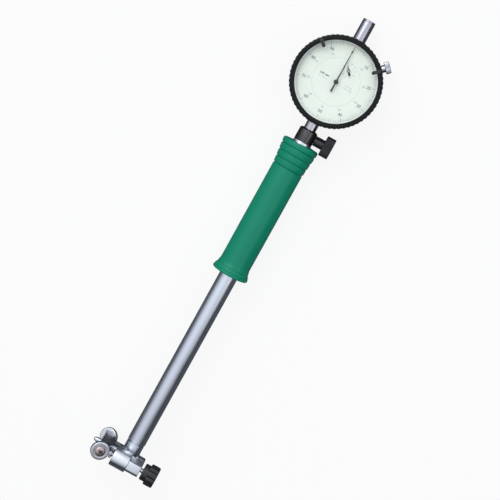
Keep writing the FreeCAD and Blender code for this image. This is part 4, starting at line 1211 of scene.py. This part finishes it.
@dataclass
class ClampAndTube:
    """Split collar, thumb screw, tube and the moulded grip."""

    slit_degrees: float = 11.5
    sleeve_slit: float = 3.0
    collar_inner: float = 5.02
    collar_chamfer: float = 0.9
    sleeve_outer: float = 5.0
    sleeve_inner: float = 4.05
    tube_inner: float = 4.0
    thumb_neck: float = 3.25
    thumb_neck_length: float = 6.2
    thumb_knurls: int = 44
    thumb_knurl_depth: float = 0.3
    thumb_shank: float = 1.8
    thumb_gap: float = 0.05
    thumb_dip: float = 0.35
    dip_rim_share: float = 0.72
    dip_floor_share: float = 0.66
    rings: int = 4
    ring_pitch: float = 4.5
    ring_groove: float = 1.0
    groove_depth: float = 0.7
    grip_radius: float = 10.2
    top_radius: float = 12.15
    flare_length: float = 7.2

    def build(self) -> None:
        """Build the clamp, the tube and the grip."""
        self.collar()
        self.thumb_screw()
        self.tube()
        self.grip()

    def collar(self) -> None:
        """Turn the split collar."""
        low, high = GAUGE.extent("clamp_collar")
        outer = high.x
        corners = [Corner(self.collar_inner, low.y), Corner(outer, low.y, 0.25),
                   Corner(outer, high.y - self.collar_chamfer, 0.1),
                   Corner(outer - self.collar_chamfer, high.y, 0.1),
                   Corner(self.collar_inner, high.y)]
        MAKE.piece("collar_split", lathe(corners, closed=True, gap=self.slit_degrees), GUNMETAL, "handle",
                   stands_for=["clamp_collar"], slot="gunmetal")

    def thumb_screw(self) -> None:
        """Turn the thumb screw and knurl its head."""
        low, high = GAUGE.extent("thumb_screw")
        collar = GAUGE.extent("clamp_collar")[1].x
        radius = (high.z - low.z) / 2
        neck_end = collar + self.thumb_neck_length
        end = high.x
        start = collar + self.thumb_gap
        dip = end - self.thumb_dip
        corners = [Corner(0, low.x), Corner(self.thumb_shank, low.x), Corner(self.thumb_shank, start),
                   Corner(self.thumb_neck, start, 0.2), Corner(self.thumb_neck, neck_end - 0.1, 0.2),
                   Corner(radius, neck_end, 0.55, 1.0), Corner(radius, end, 0.55, 1.0),
                   Corner(radius * self.dip_rim_share, end, 0.1),
                   Corner(radius * self.dip_floor_share, dip, 0.1), Corner(0, dip)]
        mesh = lathe(corners, segments=self.thumb_knurls * 8,
                     ripple=knurl(self.thumb_knurl_depth, self.thumb_knurls))
        MAKE.piece("thumb_screw_turned", mesh, BLACK_PLASTIC, "thumb_screw", at=(0, (low.y + high.y) / 2, 0),
                   along=Along.KNOB.value, stands_for=["thumb_screw"], slot="black_plastic", sharp=45)

    def tube(self) -> None:
        """Turn the tube and the slit sleeve at its top."""
        low, high = GAUGE.extent("tube")
        shoulder = GAUGE.extent("clamp_collar")[0].y - 0.02
        body = [Corner(self.tube_inner, low.y), Corner(high.x, low.y, 0.35), Corner(high.x, shoulder, 0.3),
                Corner(self.tube_inner, shoulder)]
        MAKE.piece("tube_turned", lathe(body, closed=True, segments=160), TUBE_STEEL, "handle",
                   stands_for=["tube"],
                   slot="steel")
        sleeve = [Corner(self.sleeve_inner, shoulder), Corner(self.sleeve_outer, shoulder),
                  Corner(self.sleeve_outer, high.y), Corner(self.sleeve_inner, high.y)]
        # The sleeve is near black: painted shade in the collar's slit.
        MAKE.piece("tube_sleeve", lathe(sleeve, closed=True, gap=self.sleeve_slit), PAINTED_SHADE_SLEEVE, "handle",
                   slot="dark_steel")

    def ring_corners(self, top: float) -> list[Corner]:
        """Outline the finger rings.

        Args:
            top: the height of the grip's top.

        Returns:
            The corners, from the top down.
        """
        corners = []
        step = (self.top_radius - self.grip_radius) / self.rings
        for index in range(self.rings):
            high = top - index * self.ring_pitch
            low = top - (index + 1) * self.ring_pitch + self.ring_groove
            radius = self.top_radius - index * step
            lower = self.top_radius - (index + 0.6) * step
            corners.append(Corner(radius, high, 1.5 if index == 0 else 0.5))
            corners.append(Corner(lower, low, 0.35))
            corners.append(Corner(lower - self.groove_depth, low - 0.25, 0.12))
            corners.append(Corner(lower - self.groove_depth, low - 0.7, 0.12))
        corners.append(Corner(self.grip_radius, top - self.rings * self.ring_pitch, 0.4))
        return corners

    def flare_corners(self, low: float, radius: float) -> list[Corner]:
        """Outline the flared end.

        Args:
            low: the height of the grip's lower end.
            radius: the flange's radius.

        Returns:
            The corners, from the top down.
        """
        top = low + self.flare_length
        side = radius - self.grip_radius
        return [Corner(self.grip_radius, top, 1.4), Corner(self.grip_radius + 0.34 * side, top - 2.2, 0.2),
                Corner(self.grip_radius + 0.24 * side, top - 2.6, 0.2),
                Corner(self.grip_radius + 0.84 * side, top - 4.6, 0.2),
                Corner(self.grip_radius + 0.7 * side, top - 5.0, 0.2), Corner(radius, low + 1.6, 0.4),
                Corner(radius, low, 0.9)]

    def grip(self) -> None:
        """Mould the grip: four rings under the collar, a plain shank and a flared end."""
        low, high = GAUGE.extent("grip")
        inner = GAUGE.extent("tube")[1].x + 0.02
        corners = self.ring_corners(high.y) + self.flare_corners(low.y, high.z)
        corners += [Corner(inner, low.y), Corner(inner, high.y)]
        MAKE.piece("grip_moulded", lathe(corners, closed=True, segments=160), GREEN_GRIP, "handle",
                   stands_for=["grip"], slot="green_plastic")


# ---------------------------------------------------------------- the measuring head

@dataclass
class MeasuringHead:
    """The head's barrels, neck and lug, and the parts that measure."""

    plunger_radius: float = 2.5
    chamber_radius: float = 3.3
    chamber_floor: float = 2.0
    rod_hole: float = 1.55
    barrel_left: float = 8.2
    barrel_right: float = 6.2
    barrel_radius: float = 4.6
    neck_radius: float = 5.85
    neck_groove: float = 0.9
    front_left: float = 9.0
    front_right: float = 2.1
    front_radius: float = 6.6
    hexagon_right: float = 11.0
    hexagon_corner: float = 5.658
    offset: float = 12.2
    lug: float = 3.4
    body: str = "handle"

    def at(self, across: float = 0.0, along: float = 0.0, out: float = 0.0) -> tuple[float, float, float]:
        """Find a point of the head.

        Args:
            across: its place along the measuring axis.
            along: its place along the tube.
            out: its place along the dial's normal.

        Returns:
            The point in the gauge.
        """
        low, high = GAUGE.extent("contact_tip")
        return across, (low.y + high.y) / 2 + along, out

    def build(self) -> None:
        """Build the head's pieces."""
        self.barrel()
        self.neck()
        self.front_barrel()
        self.hexagon()
        self.web_and_lug()
        self.anvil()
        self.contact()

    def barrel(self) -> None:
        """Turn the measuring barrel."""
        inner = self.plunger_radius + 0.05
        corners = [Corner(inner, -self.barrel_left, 0.15), Corner(self.barrel_radius, -self.barrel_left, 0.4),
                   Corner(self.barrel_radius, self.barrel_right, 0.3), Corner(inner, self.barrel_right)]
        MAKE.piece("measuring_barrel", lathe(corners, closed=True, segments=96), HEAD_CHROME, self.body,
                   at=self.at(), along=Along.KNOB.value, stands_for=["head_body"], slot="chrome")

    def neck(self) -> None:
        """Turn the neck, whose joint with the tube shows as a fine line."""
        top = GAUGE.extent("tube")[0].y - self.at()[1] - 0.02
        groove = self.neck_radius - self.neck_groove
        corners = [Corner(2.0, 0), Corner(self.neck_radius, 0, 0.2), Corner(self.neck_radius, top - 0.9, 0.2),
                   Corner(groove, top - 0.75), Corner(groove, top)]
        MAKE.piece("neck_turned", lathe(corners, segments=128), TUBE_STEEL, self.body, at=self.at(),
                   slot="chrome")

    def front_barrel(self) -> None:
        """Turn the front barrel with its spring chamber."""
        corners = [Corner(self.chamber_radius, -self.front_left, 0.25),
                   Corner(self.front_radius, -self.front_left, 0.5),
                   Corner(self.front_radius, self.front_right, 0.45), Corner(self.rod_hole, self.front_right),
                   Corner(self.rod_hole, -self.chamber_floor),
                   Corner(self.chamber_radius, -self.chamber_floor)]
        MAKE.piece("front_barrel", lathe(corners, closed=True, segments=128), HEAD_CHROME, self.body,
                   at=self.at(out=self.offset), along=Along.KNOB.value, slot="chrome")

    def hexagon(self) -> None:
        """Make the hexagon beside the front barrel."""
        outline = [(self.hexagon_corner * math.sin(math.tau * step / 6), self.hexagon_corner
                    * math.cos(math.tau * step / 6)) for step in range(6)]
        mesh = slab(outline, self.front_right - 0.3, self.hexagon_right, 0.3)
        piece = MAKE.piece("guide_hexagon", mesh, HEAD_CHROME, self.body, at=self.at(out=self.offset),
                           along=Matrix.Rotation(math.radians(90), 4, "Y"), slot="chrome")
        hole = [Corner(0, 0), Corner(self.rod_hole + 0.25, 0), Corner(self.rod_hole + 0.25, 14),
                Corner(0, 14)]
        carved(piece, moved(lathe(hole, segments=48), Matrix.Rotation(math.radians(90), 4, "X")))

    def web_and_lug(self) -> None:
        """Make the block that joins the barrels, and the lug of the rear guide."""
        MAKE.piece("head_web", box((-7.4, -4.0, 0.0), (1.8, 4.0, self.offset - 4.6), 0.4), HEAD_CHROME,
                   self.body,
                   at=self.at(), slot="chrome")
        arm = box((-3.0, -self.lug, -self.offset + 2.0), (2.5, self.lug, 0.0), 0.4)
        ring = [Corner(self.rod_hole, -3.0, 0.15), Corner(self.lug, -3.0, 0.35), Corner(self.lug, 2.5, 0.35),
                Corner(self.rod_hole, 2.5, 0.15)]
        boss = moved(lathe(ring, closed=True, segments=64),
                     Matrix.Translation(Vector((0, 0, -self.offset)) * MM) @ Along.KNOB.value)
        MAKE.piece("rear_lug", joined([arm, boss]), HEAD_CHROME, self.body, at=self.at(), slot="chrome")

    def anvil(self) -> None:
        """Turn the fixed anvil."""
        low, high = GAUGE.extent("anvil")
        radius = (high.z - low.z) / 2
        corners = [Corner(0, low.x), Corner(2.5, low.x), Corner(2.5, self.barrel_right),
                   Corner(radius, self.barrel_right, 0.3), Corner(radius, high.x, 1.3),
                   Corner(1.3, high.x, 0.1),
                   Corner(1.1, high.x - 0.3, 0.1), Corner(0, high.x - 0.3)]
        MAKE.piece("anvil_turned", lathe(corners, segments=96), GREY_ANVIL, self.body, at=self.at(),
                   along=Along.KNOB.value, stands_for=["anvil"], slot="aluminium")

    def contact(self) -> None:
        """Turn the plunger and its contact tip."""
        low, high = GAUGE.extent("contact_plunger")
        near = -high.x
        far = -low.x
        corners = [Corner(0, near), Corner(0.9, near, 0.1), Corner(0.9, near + 2.2),
                   Corner(2.5, near + 2.2, 0.2),
                   Corner(2.5, far, 0.6), Corner(1.6, far)]
        MAKE.piece("plunger_turned", lathe(corners, segments=96), TURNED_STEEL, "contact", at=self.at(),
                   along=Along.CONTACT.value, stands_for=["contact_plunger"], slot="steel")
        end = -GAUGE.extent("contact_tip")[0].x
        ball = 1.4
        corners = [Corner(0, far), Corner(1.7, far), Corner(1.7, end - 2.0, 0.15),
                   Corner(ball, end - ball, 0.1)]
        for step in range(1, 9):
            angle = math.pi / 2 * step / 8
            corners.append(Corner(ball * math.cos(angle), end - ball + ball * math.sin(angle)))
        MAKE.piece("tip_turned", lathe(corners, segments=64), HEAD_CHROME, "contact", at=self.at(),
                   along=Along.CONTACT.value, stands_for=["contact_tip"], slot="chrome")


@dataclass
class CentringBridge:
    """The sprung bridge with its rollers, guide rods, knob and springs."""

    left: float = 20.2
    right: float = 13.5
    flare: float = 0.9
    offset: float = 12.2
    inset: float = 17.7
    roller_offset: float = 17.5
    lean: float = 20.0
    roller_radius: float = 6.15
    roller_half: float = 1.4
    seat_gap: float = 0.3
    screw_radius: float = 3.4
    recess_reach: float = 1.7
    recess_half: float = 0.4
    recess_floor: float = 0.8
    recess_top: float = 2.0
    recess_edge: float = 1.8
    recess_lip: float = 1.35
    rod: float = 1.5
    knob_lobes: int = 8
    spring_wire: float = 0.6

    def __post_init__(self) -> None:
        """Take the head's place."""
        self.head = MeasuringHead()

    def build(self) -> None:
        """Build the bridge's pieces."""
        self.beam()
        for side, name in ((1, "front"), (-1, "rear")):
            self.roller(side, name)
        self.rods()
        self.knob()
        self.springs()

    def half_outline(self) -> list[tuple[float, float]]:
        """Outline the front half of the beam, whose end lies parallel to its roller."""
        lean = math.radians(self.lean)
        seat = self.roller_half + self.seat_gap
        seat_x = -self.inset - seat * math.sin(lean)
        seat_z = self.roller_offset - seat * math.cos(lean)
        far = -self.left - self.flare
        return [(-self.left, self.offset - 4.0), (far, seat_z - (far - seat_x) * math.tan(lean)),
                (-self.right, seat_z - (-self.right - seat_x) * math.tan(lean)),
                (-self.right, self.offset - 2.4), (-self.right + 1.8, self.offset - 7.0)]

    def beam(self) -> None:
        """Make the beam: bright flanks, and the faces above and below painted dark as painted shade."""
        half = self.half_outline()
        outline = half + [(across, -along) for across, along in reversed(half)]
        piece = MAKE.piece("bridge_beam", slab(outline, -3.5, 3.5, 0.35), BRIGHT_FLANK, "bridge",
                           at=self.head.at(),
                           along=Along.DIAL.value, stands_for=["centring_bridge"], slot="dark_steel")
        hole = [Corner(0, 0), Corner(2.8, 0), Corner(2.8, 26), Corner(0, 26)]
        carved(piece, moved(lathe(hole, segments=64), Matrix.Rotation(math.radians(90), 4, "Z")))
        # The faces above and below take the dark steel: painted shade beside the bright flanks.
        piece.data.materials.append(DARK_STEEL_AND_SHADE.material())
        for face in piece.data.polygons:
            if abs(face.normal.z) > 0.9:
                face.material_index = 1

    def roller(self, side: int, name: str) -> None:
        """Turn one roller and its cross-slotted screw, whose cross recess is painted black as painted shade.

        Args:
            side: 1 for the front roller, -1 for the rear one.
            name: what the roller is called.
        """
        lean = math.radians(self.lean)
        way = (math.sin(lean), 0.0, side * math.cos(lean))
        place = self.head.at(-self.inset, 0.0, side * self.roller_offset)
        half = self.roller_half
        hole = 1.85
        corners = [Corner(hole, -half), Corner(self.roller_radius, -half, 0.6),
                   Corner(self.roller_radius, half, 0.6),
                   Corner(4.3, half, 0.08), Corner(4.15, half - 0.12, 0.05), Corner(hole, half - 0.12)]
        MAKE.piece(f"roller_{name}_turned", lathe(corners, closed=True, segments=96), HEAD_CHROME,
                   f"roller_{name}", at=place, along=turn_to(way), stands_for=[f"roller_{name}"],
                   slot="chrome")
        head = half + 0.15
        tip = -half - self.seat_gap - 3.8
        corners = [Corner(0, tip), Corner(1.4, tip, 0.2), Corner(1.4, -half - self.seat_gap),
                   Corner(1.8, -half - self.seat_gap), Corner(1.8, head),
                   Corner(self.screw_radius, head, 0.15),
                   Corner(self.screw_radius, head + 0.65, 0.25),
                   Corner(self.screw_radius - 0.9, half + 1.4, 0.5),
                   Corner(0, half + 1.58)]
        screw = MAKE.piece(f"roller_screw_{name}_turned", lathe(corners, segments=96), SCREW_COPPER, "bridge",
                           at=place, along=turn_to(way), stands_for=[f"roller_screw_{name}"],
                           slot="screw_metal")
        floor = half + self.recess_floor
        for across, along in ((self.recess_reach, self.recess_half), (self.recess_half, self.recess_reach)):
            carved(screw, box((-across, floor, -along), (across, half + self.recess_top, along)))
        # The cross recess's faces take the black ink: painted shade in the recess.
        screw.data.materials.append(BLACK_INK_AND_SHADE.material())
        for face in screw.data.polygons:
            middle = face.center / MM
            inside = math.hypot(middle.x, middle.z) < self.recess_edge
            if inside and floor - 0.1 < middle.y < half + self.recess_lip:
                face.material_index = 1

    def rods(self) -> None:
        """Turn the two guide rods and the clip."""
        low, high = GAUGE.extent("front_guide_rod")
        corners = [Corner(0, low.x), Corner(self.rod, low.x), Corner(self.rod, -11.4),
                   Corner(2.8, -11.4, 0.15),
                   Corner(2.8, -10.6, 0.15), Corner(self.rod, -10.6), Corner(self.rod, high.x),
                   Corner(0, high.x)]
        MAKE.piece("front_rod_turned", lathe(corners, segments=64), TURNED_STEEL, "bridge",
                   at=self.head.at(out=self.offset), along=Along.KNOB.value, stands_for=["front_guide_rod"],
                   slot="steel")
        low, high = GAUGE.extent("rear_guide_rod")
        corners = [Corner(0, low.x), Corner(self.rod, low.x), Corner(self.rod, high.x, 0.4),
                   Corner(0, high.x)]
        # The rear rod takes the dark steel as painted shade; the front rod takes the turned steel.
        MAKE.piece("rear_rod_turned", lathe(corners, segments=64), DARK_STEEL_AND_SHADE, "bridge",
                   at=self.head.at(out=-self.offset), along=Along.KNOB.value, stands_for=["rear_guide_rod"],
                   slot="dark_steel")
        low, high = GAUGE.extent("guide_clip")
        corners = [Corner(self.rod + 0.02, low.x), Corner(3.0, low.x, 0.1), Corner(3.0, high.x, 0.1),
                   Corner(self.rod + 0.02, high.x)]
        MAKE.piece("clip_sprung", lathe(corners, closed=True, segments=64, gap=40), SPRING_WIRE, "bridge",
                   at=self.head.at(out=-self.offset), along=Along.KNOB.value, stands_for=["guide_clip"],
                   slot="spring_steel")

    def knob(self) -> None:
        """Mould the lobed knob on the front rod."""
        low, high = GAUGE.extent("bridge_knob")
        step = low.x + 3.6
        radius = 7.1
        corners = [Corner(self.rod + 0.02, low.x), Corner(5.6, low.x, 0.6), Corner(5.6, step, 0.2),
                   Corner(radius, step, 0.7, 1.0), Corner(radius, high.x, 1.1, 1.0), Corner(4.4, high.x, 0.3),
                   Corner(4.0, high.x - 0.4, 0.3), Corner(0, high.x - 0.4)]
        mesh = lathe(corners, segments=256, ripple=lobes(0.8, self.knob_lobes))
        MAKE.piece("knob_moulded", mesh, BLACK_PLASTIC, "bridge", at=self.head.at(out=self.offset),
                   along=Along.KNOB.value, stands_for=["bridge_knob"], slot="black_plastic", sharp=40)

    def springs(self) -> None:
        """Wind the two springs."""
        low, high = GAUGE.extent("bridge_spring")
        radius = (high.z - low.z - self.spring_wire) / 2
        spring = MAKE.piece("bridge_coil", coil(radius, self.spring_wire, high.x - low.x, 5), SPRING_WIRE,
                            "handle",
                            at=self.head.at(low.x, 0.0, self.offset), along=Along.KNOB.value,
                            stands_for=["bridge_spring"], slot="spring_steel")
        GAUGE.direction((1, 0, 0))
        GAUGE.matrix @ (Vector(self.head.at(high.x, 0.0, self.offset)) * MM)
        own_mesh(spring)
        low, high = GAUGE.extent("rod_spring")
        radius = (high.x - low.x - self.spring_wire) / 2
        spring = MAKE.piece("rod_coil", coil(radius, self.spring_wire, high.y - low.y, 10), SPRING_WIRE,
                            "handle",
                            at=(0, low.y, 0), stands_for=["rod_spring"], slot="spring_steel")
        GAUGE.direction((0, 1, 0))
        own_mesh(spring)


@dataclass
class Works:
    """The hidden works, which keep the frame's own meshes."""

    finishes: tuple[tuple[str, Finish], ...] = (
        ("spindle", TURNED_STEEL), ("spindle_point", TURNED_STEEL), ("rack_arbor", TURNED_STEEL),
        ("movement_wheel", BRASS), ("centre_arbor", TURNED_STEEL), ("revolution_arbor", TURNED_STEEL),
        ("revolution_pointer", BLACK_INK_AND_SHADE), ("movement_plate", BRASS), ("crank_pin", TURNED_STEEL),
        ("bell_crank", DARK_STEEL_AND_SHADE), ("push_rod", TURNED_STEEL), ("rod_bush", BRASS), ("spring_seat", BRASS))

    def build(self) -> None:
        """Give each of the frame's nodes that still shows its finish."""
        for node, finish in self.finishes:
            materials = frame["nodes"][node].data.materials
            materials.clear()
            materials.append(finish.material())
            LOG.info("%s keeps its mesh, in %s", node, finish.name)


# ---------------------------------------------------------------- floor, light and camera

@dataclass
class Studio:
    """A plain pale floor, soft lamps and the camera."""

    floor_size: float = 12.0
    floor_tone: Colour = (0.86, 0.86, 0.86)
    floor_glow: float = 0.88
    floor_painted_reflection: Colour = (0.10, 0.105, 0.115)
    sky_way: tuple[float, float, float] = (-0.28, 0.42, 0.86)
    horizon: Colour = (0.03, 0.033, 0.04)
    zenith: Colour = (1.02, 1.06, 1.14)
    horizon_at: float = 0.1
    zenith_at: float = 0.9
    sky_seen: Colour = (0.94, 0.94, 0.94)
    key_way: tuple[float, float, float] = (-0.62, 0.62, 0.95)
    key_side: float = 0.8
    key_watts: float = 3.6
    fill_way: tuple[float, float, float] = (0.9, 0.1, 0.9)
    fill_side: float = 0.6
    fill_watts: float = 1.2
    camera_height: float = 873.0
    aim: tuple[float, float, float] = (4.0, -118.5, 0.0)
    roll: float = 29.045
    lens: float = 100.1

    def build(self) -> None:
        """Build the stage."""
        self.floor()
        self.world()
        self.lamps()
        self.camera()

    def floor(self) -> None:
        """Lay the floor: nearly white to the camera, a dark grey painted reflection in the metal, darkened by
        the object's shadow.
        """
        half = self.floor_size / 2
        data = bpy.data.meshes.new("floor")
        data.from_pydata([(-half, -half, 0), (half, -half, 0), (half, half, 0), (-half, half, 0)], [],
                         [(0, 1, 2, 3)])
        plane = bpy.data.objects.new("floor", data)
        bpy.context.scene.collection.objects.link(plane)
        plane.location.z = CAD_BOX[0].z - 0.0002
        material = bpy.data.materials.new("pale_floor")
        material.use_nodes = True
        tree = material.node_tree
        matt = tree.nodes["Principled BSDF"]
        matt.inputs["Roughness"].default_value = 0.9
        matt.inputs["Specular IOR Level"].default_value = 0.1
        glow = tree.nodes.new("ShaderNodeEmission")
        glow.inputs["Color"].default_value = (1.0, 1.0, 1.0, 1.0)
        path = tree.nodes.new("ShaderNodeLightPath")
        # Glossy rays see a dark grey floor: a painted reflection that darkens the metal's edges.
        tone = mixed_colour(tree, path.outputs["Is Glossy Ray"], self.floor_tone, self.floor_painted_reflection)
        tree.links.new(tone, matt.inputs["Base Color"])
        seen = math_node(tree, "MAXIMUM", path.outputs["Is Camera Ray"], path.outputs["Is Transmission Ray"])
        mix = tree.nodes.new("ShaderNodeMixShader")
        tree.links.new(math_node(tree, "MULTIPLY", seen, self.floor_glow), mix.inputs[0])
        tree.links.new(matt.outputs[0], mix.inputs[1])
        tree.links.new(glow.outputs[0], mix.inputs[2])
        tree.links.new(mix.outputs[0], tree.nodes["Material Output"].inputs["Surface"])
        data.materials.append(material)

    def world(self) -> None:
        """Light the room: brighter overhead than at the horizon, and pale where the camera sees it."""
        world = bpy.data.worlds.new("studio")
        bpy.context.scene.world = world
        world.use_nodes = True
        tree = world.node_tree
        place = tree.nodes.new("ShaderNodeTexCoord")
        toward = tree.nodes.new("ShaderNodeVectorMath")
        toward.operation = "DOT_PRODUCT"
        tree.links.new(place.outputs["Generated"], toward.inputs[0])
        toward.inputs[1].default_value = Vector(self.sky_way).normalized()
        ramp = tree.nodes.new("ShaderNodeValToRGB")
        low, high = ramp.color_ramp.elements
        low.position = self.horizon_at
        low.color = (*self.horizon, 1.0)
        high.position = self.zenith_at
        high.color = (*self.zenith, 1.0)
        tree.links.new(toward.outputs["Value"], ramp.inputs["Fac"])
        path = tree.nodes.new("ShaderNodeLightPath")
        colour = mixed_colour(tree, path.outputs["Is Camera Ray"], ramp.outputs["Color"], self.sky_seen)
        tree.links.new(colour, tree.nodes["Background"].inputs["Color"])
        tree.nodes["Background"].inputs["Strength"].default_value = 1.0

    def lamp(self, name: str, place: Vector, toward: Vector, size: float, watts: float) -> None:
        """Hang one square lamp.

        Args:
            name: its name.
            place: where it hangs.
            toward: what it is aimed at.
            size: its side, in metres.
            watts: its power.
        """
        data = bpy.data.lights.new(name, "AREA")
        data.size = size
        data.energy = watts
        lamp = bpy.data.objects.new(name, data)
        bpy.context.scene.collection.objects.link(lamp)
        lamp.location = place
        lamp.rotation_mode = "QUATERNION"
        lamp.rotation_quaternion = (toward - place).to_track_quat("-Z", "Y")

    def lamps(self) -> None:
        """Hang the key lamp over the gauge's left and a weaker one over its right."""
        middle = (CAD_BOX[0] + CAD_BOX[1]) / 2
        self.lamp("key", middle + Vector(self.key_way), middle, self.key_side, self.key_watts)
        self.lamp("fill", middle + Vector(self.fill_way), middle, self.fill_side, self.fill_watts)

    def camera(self) -> None:
        """Aim the camera from over the dial at the gauge's middle, rolled so the tube rises rightwards."""
        data = bpy.data.cameras.new("camera")
        data.lens = self.lens
        data.sensor_width = 36.0
        data.clip_start = 0.01
        data.clip_end = 60.0
        camera = bpy.data.objects.new("camera", data)
        bpy.context.scene.collection.objects.link(camera)
        place = Vector((0.0, 0.0, self.camera_height))
        back = (place - Vector(self.aim)).normalized()
        up = Vector((0, 1, 0))
        up = (up - back * up.dot(back)).normalized()
        turn = Matrix((up.cross(back), up, back)).transposed().to_4x4()
        rolled = turn @ Matrix.Rotation(math.radians(self.roll), 4, "Z")
        camera.matrix_world = GAUGE.matrix @ Matrix.Translation(place * MM) @ rolled
        bpy.context.scene.camera = camera


def main() -> None:
    """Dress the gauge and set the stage."""
    logging.basicConfig(level=logging.INFO, format="%(message)s")
    for assembly in (IndicatorBody(), DialFace(), Bezel(), Pointers(), ClampAndTube(), MeasuringHead(),
                     CentringBridge(), Works(), Studio()):
        assembly.build()
    bpy.context.scene.view_settings.view_transform = "Standard"
    LOG.info("%d pieces made", MAKE.count)


if __name__ == "__main__":
    main()
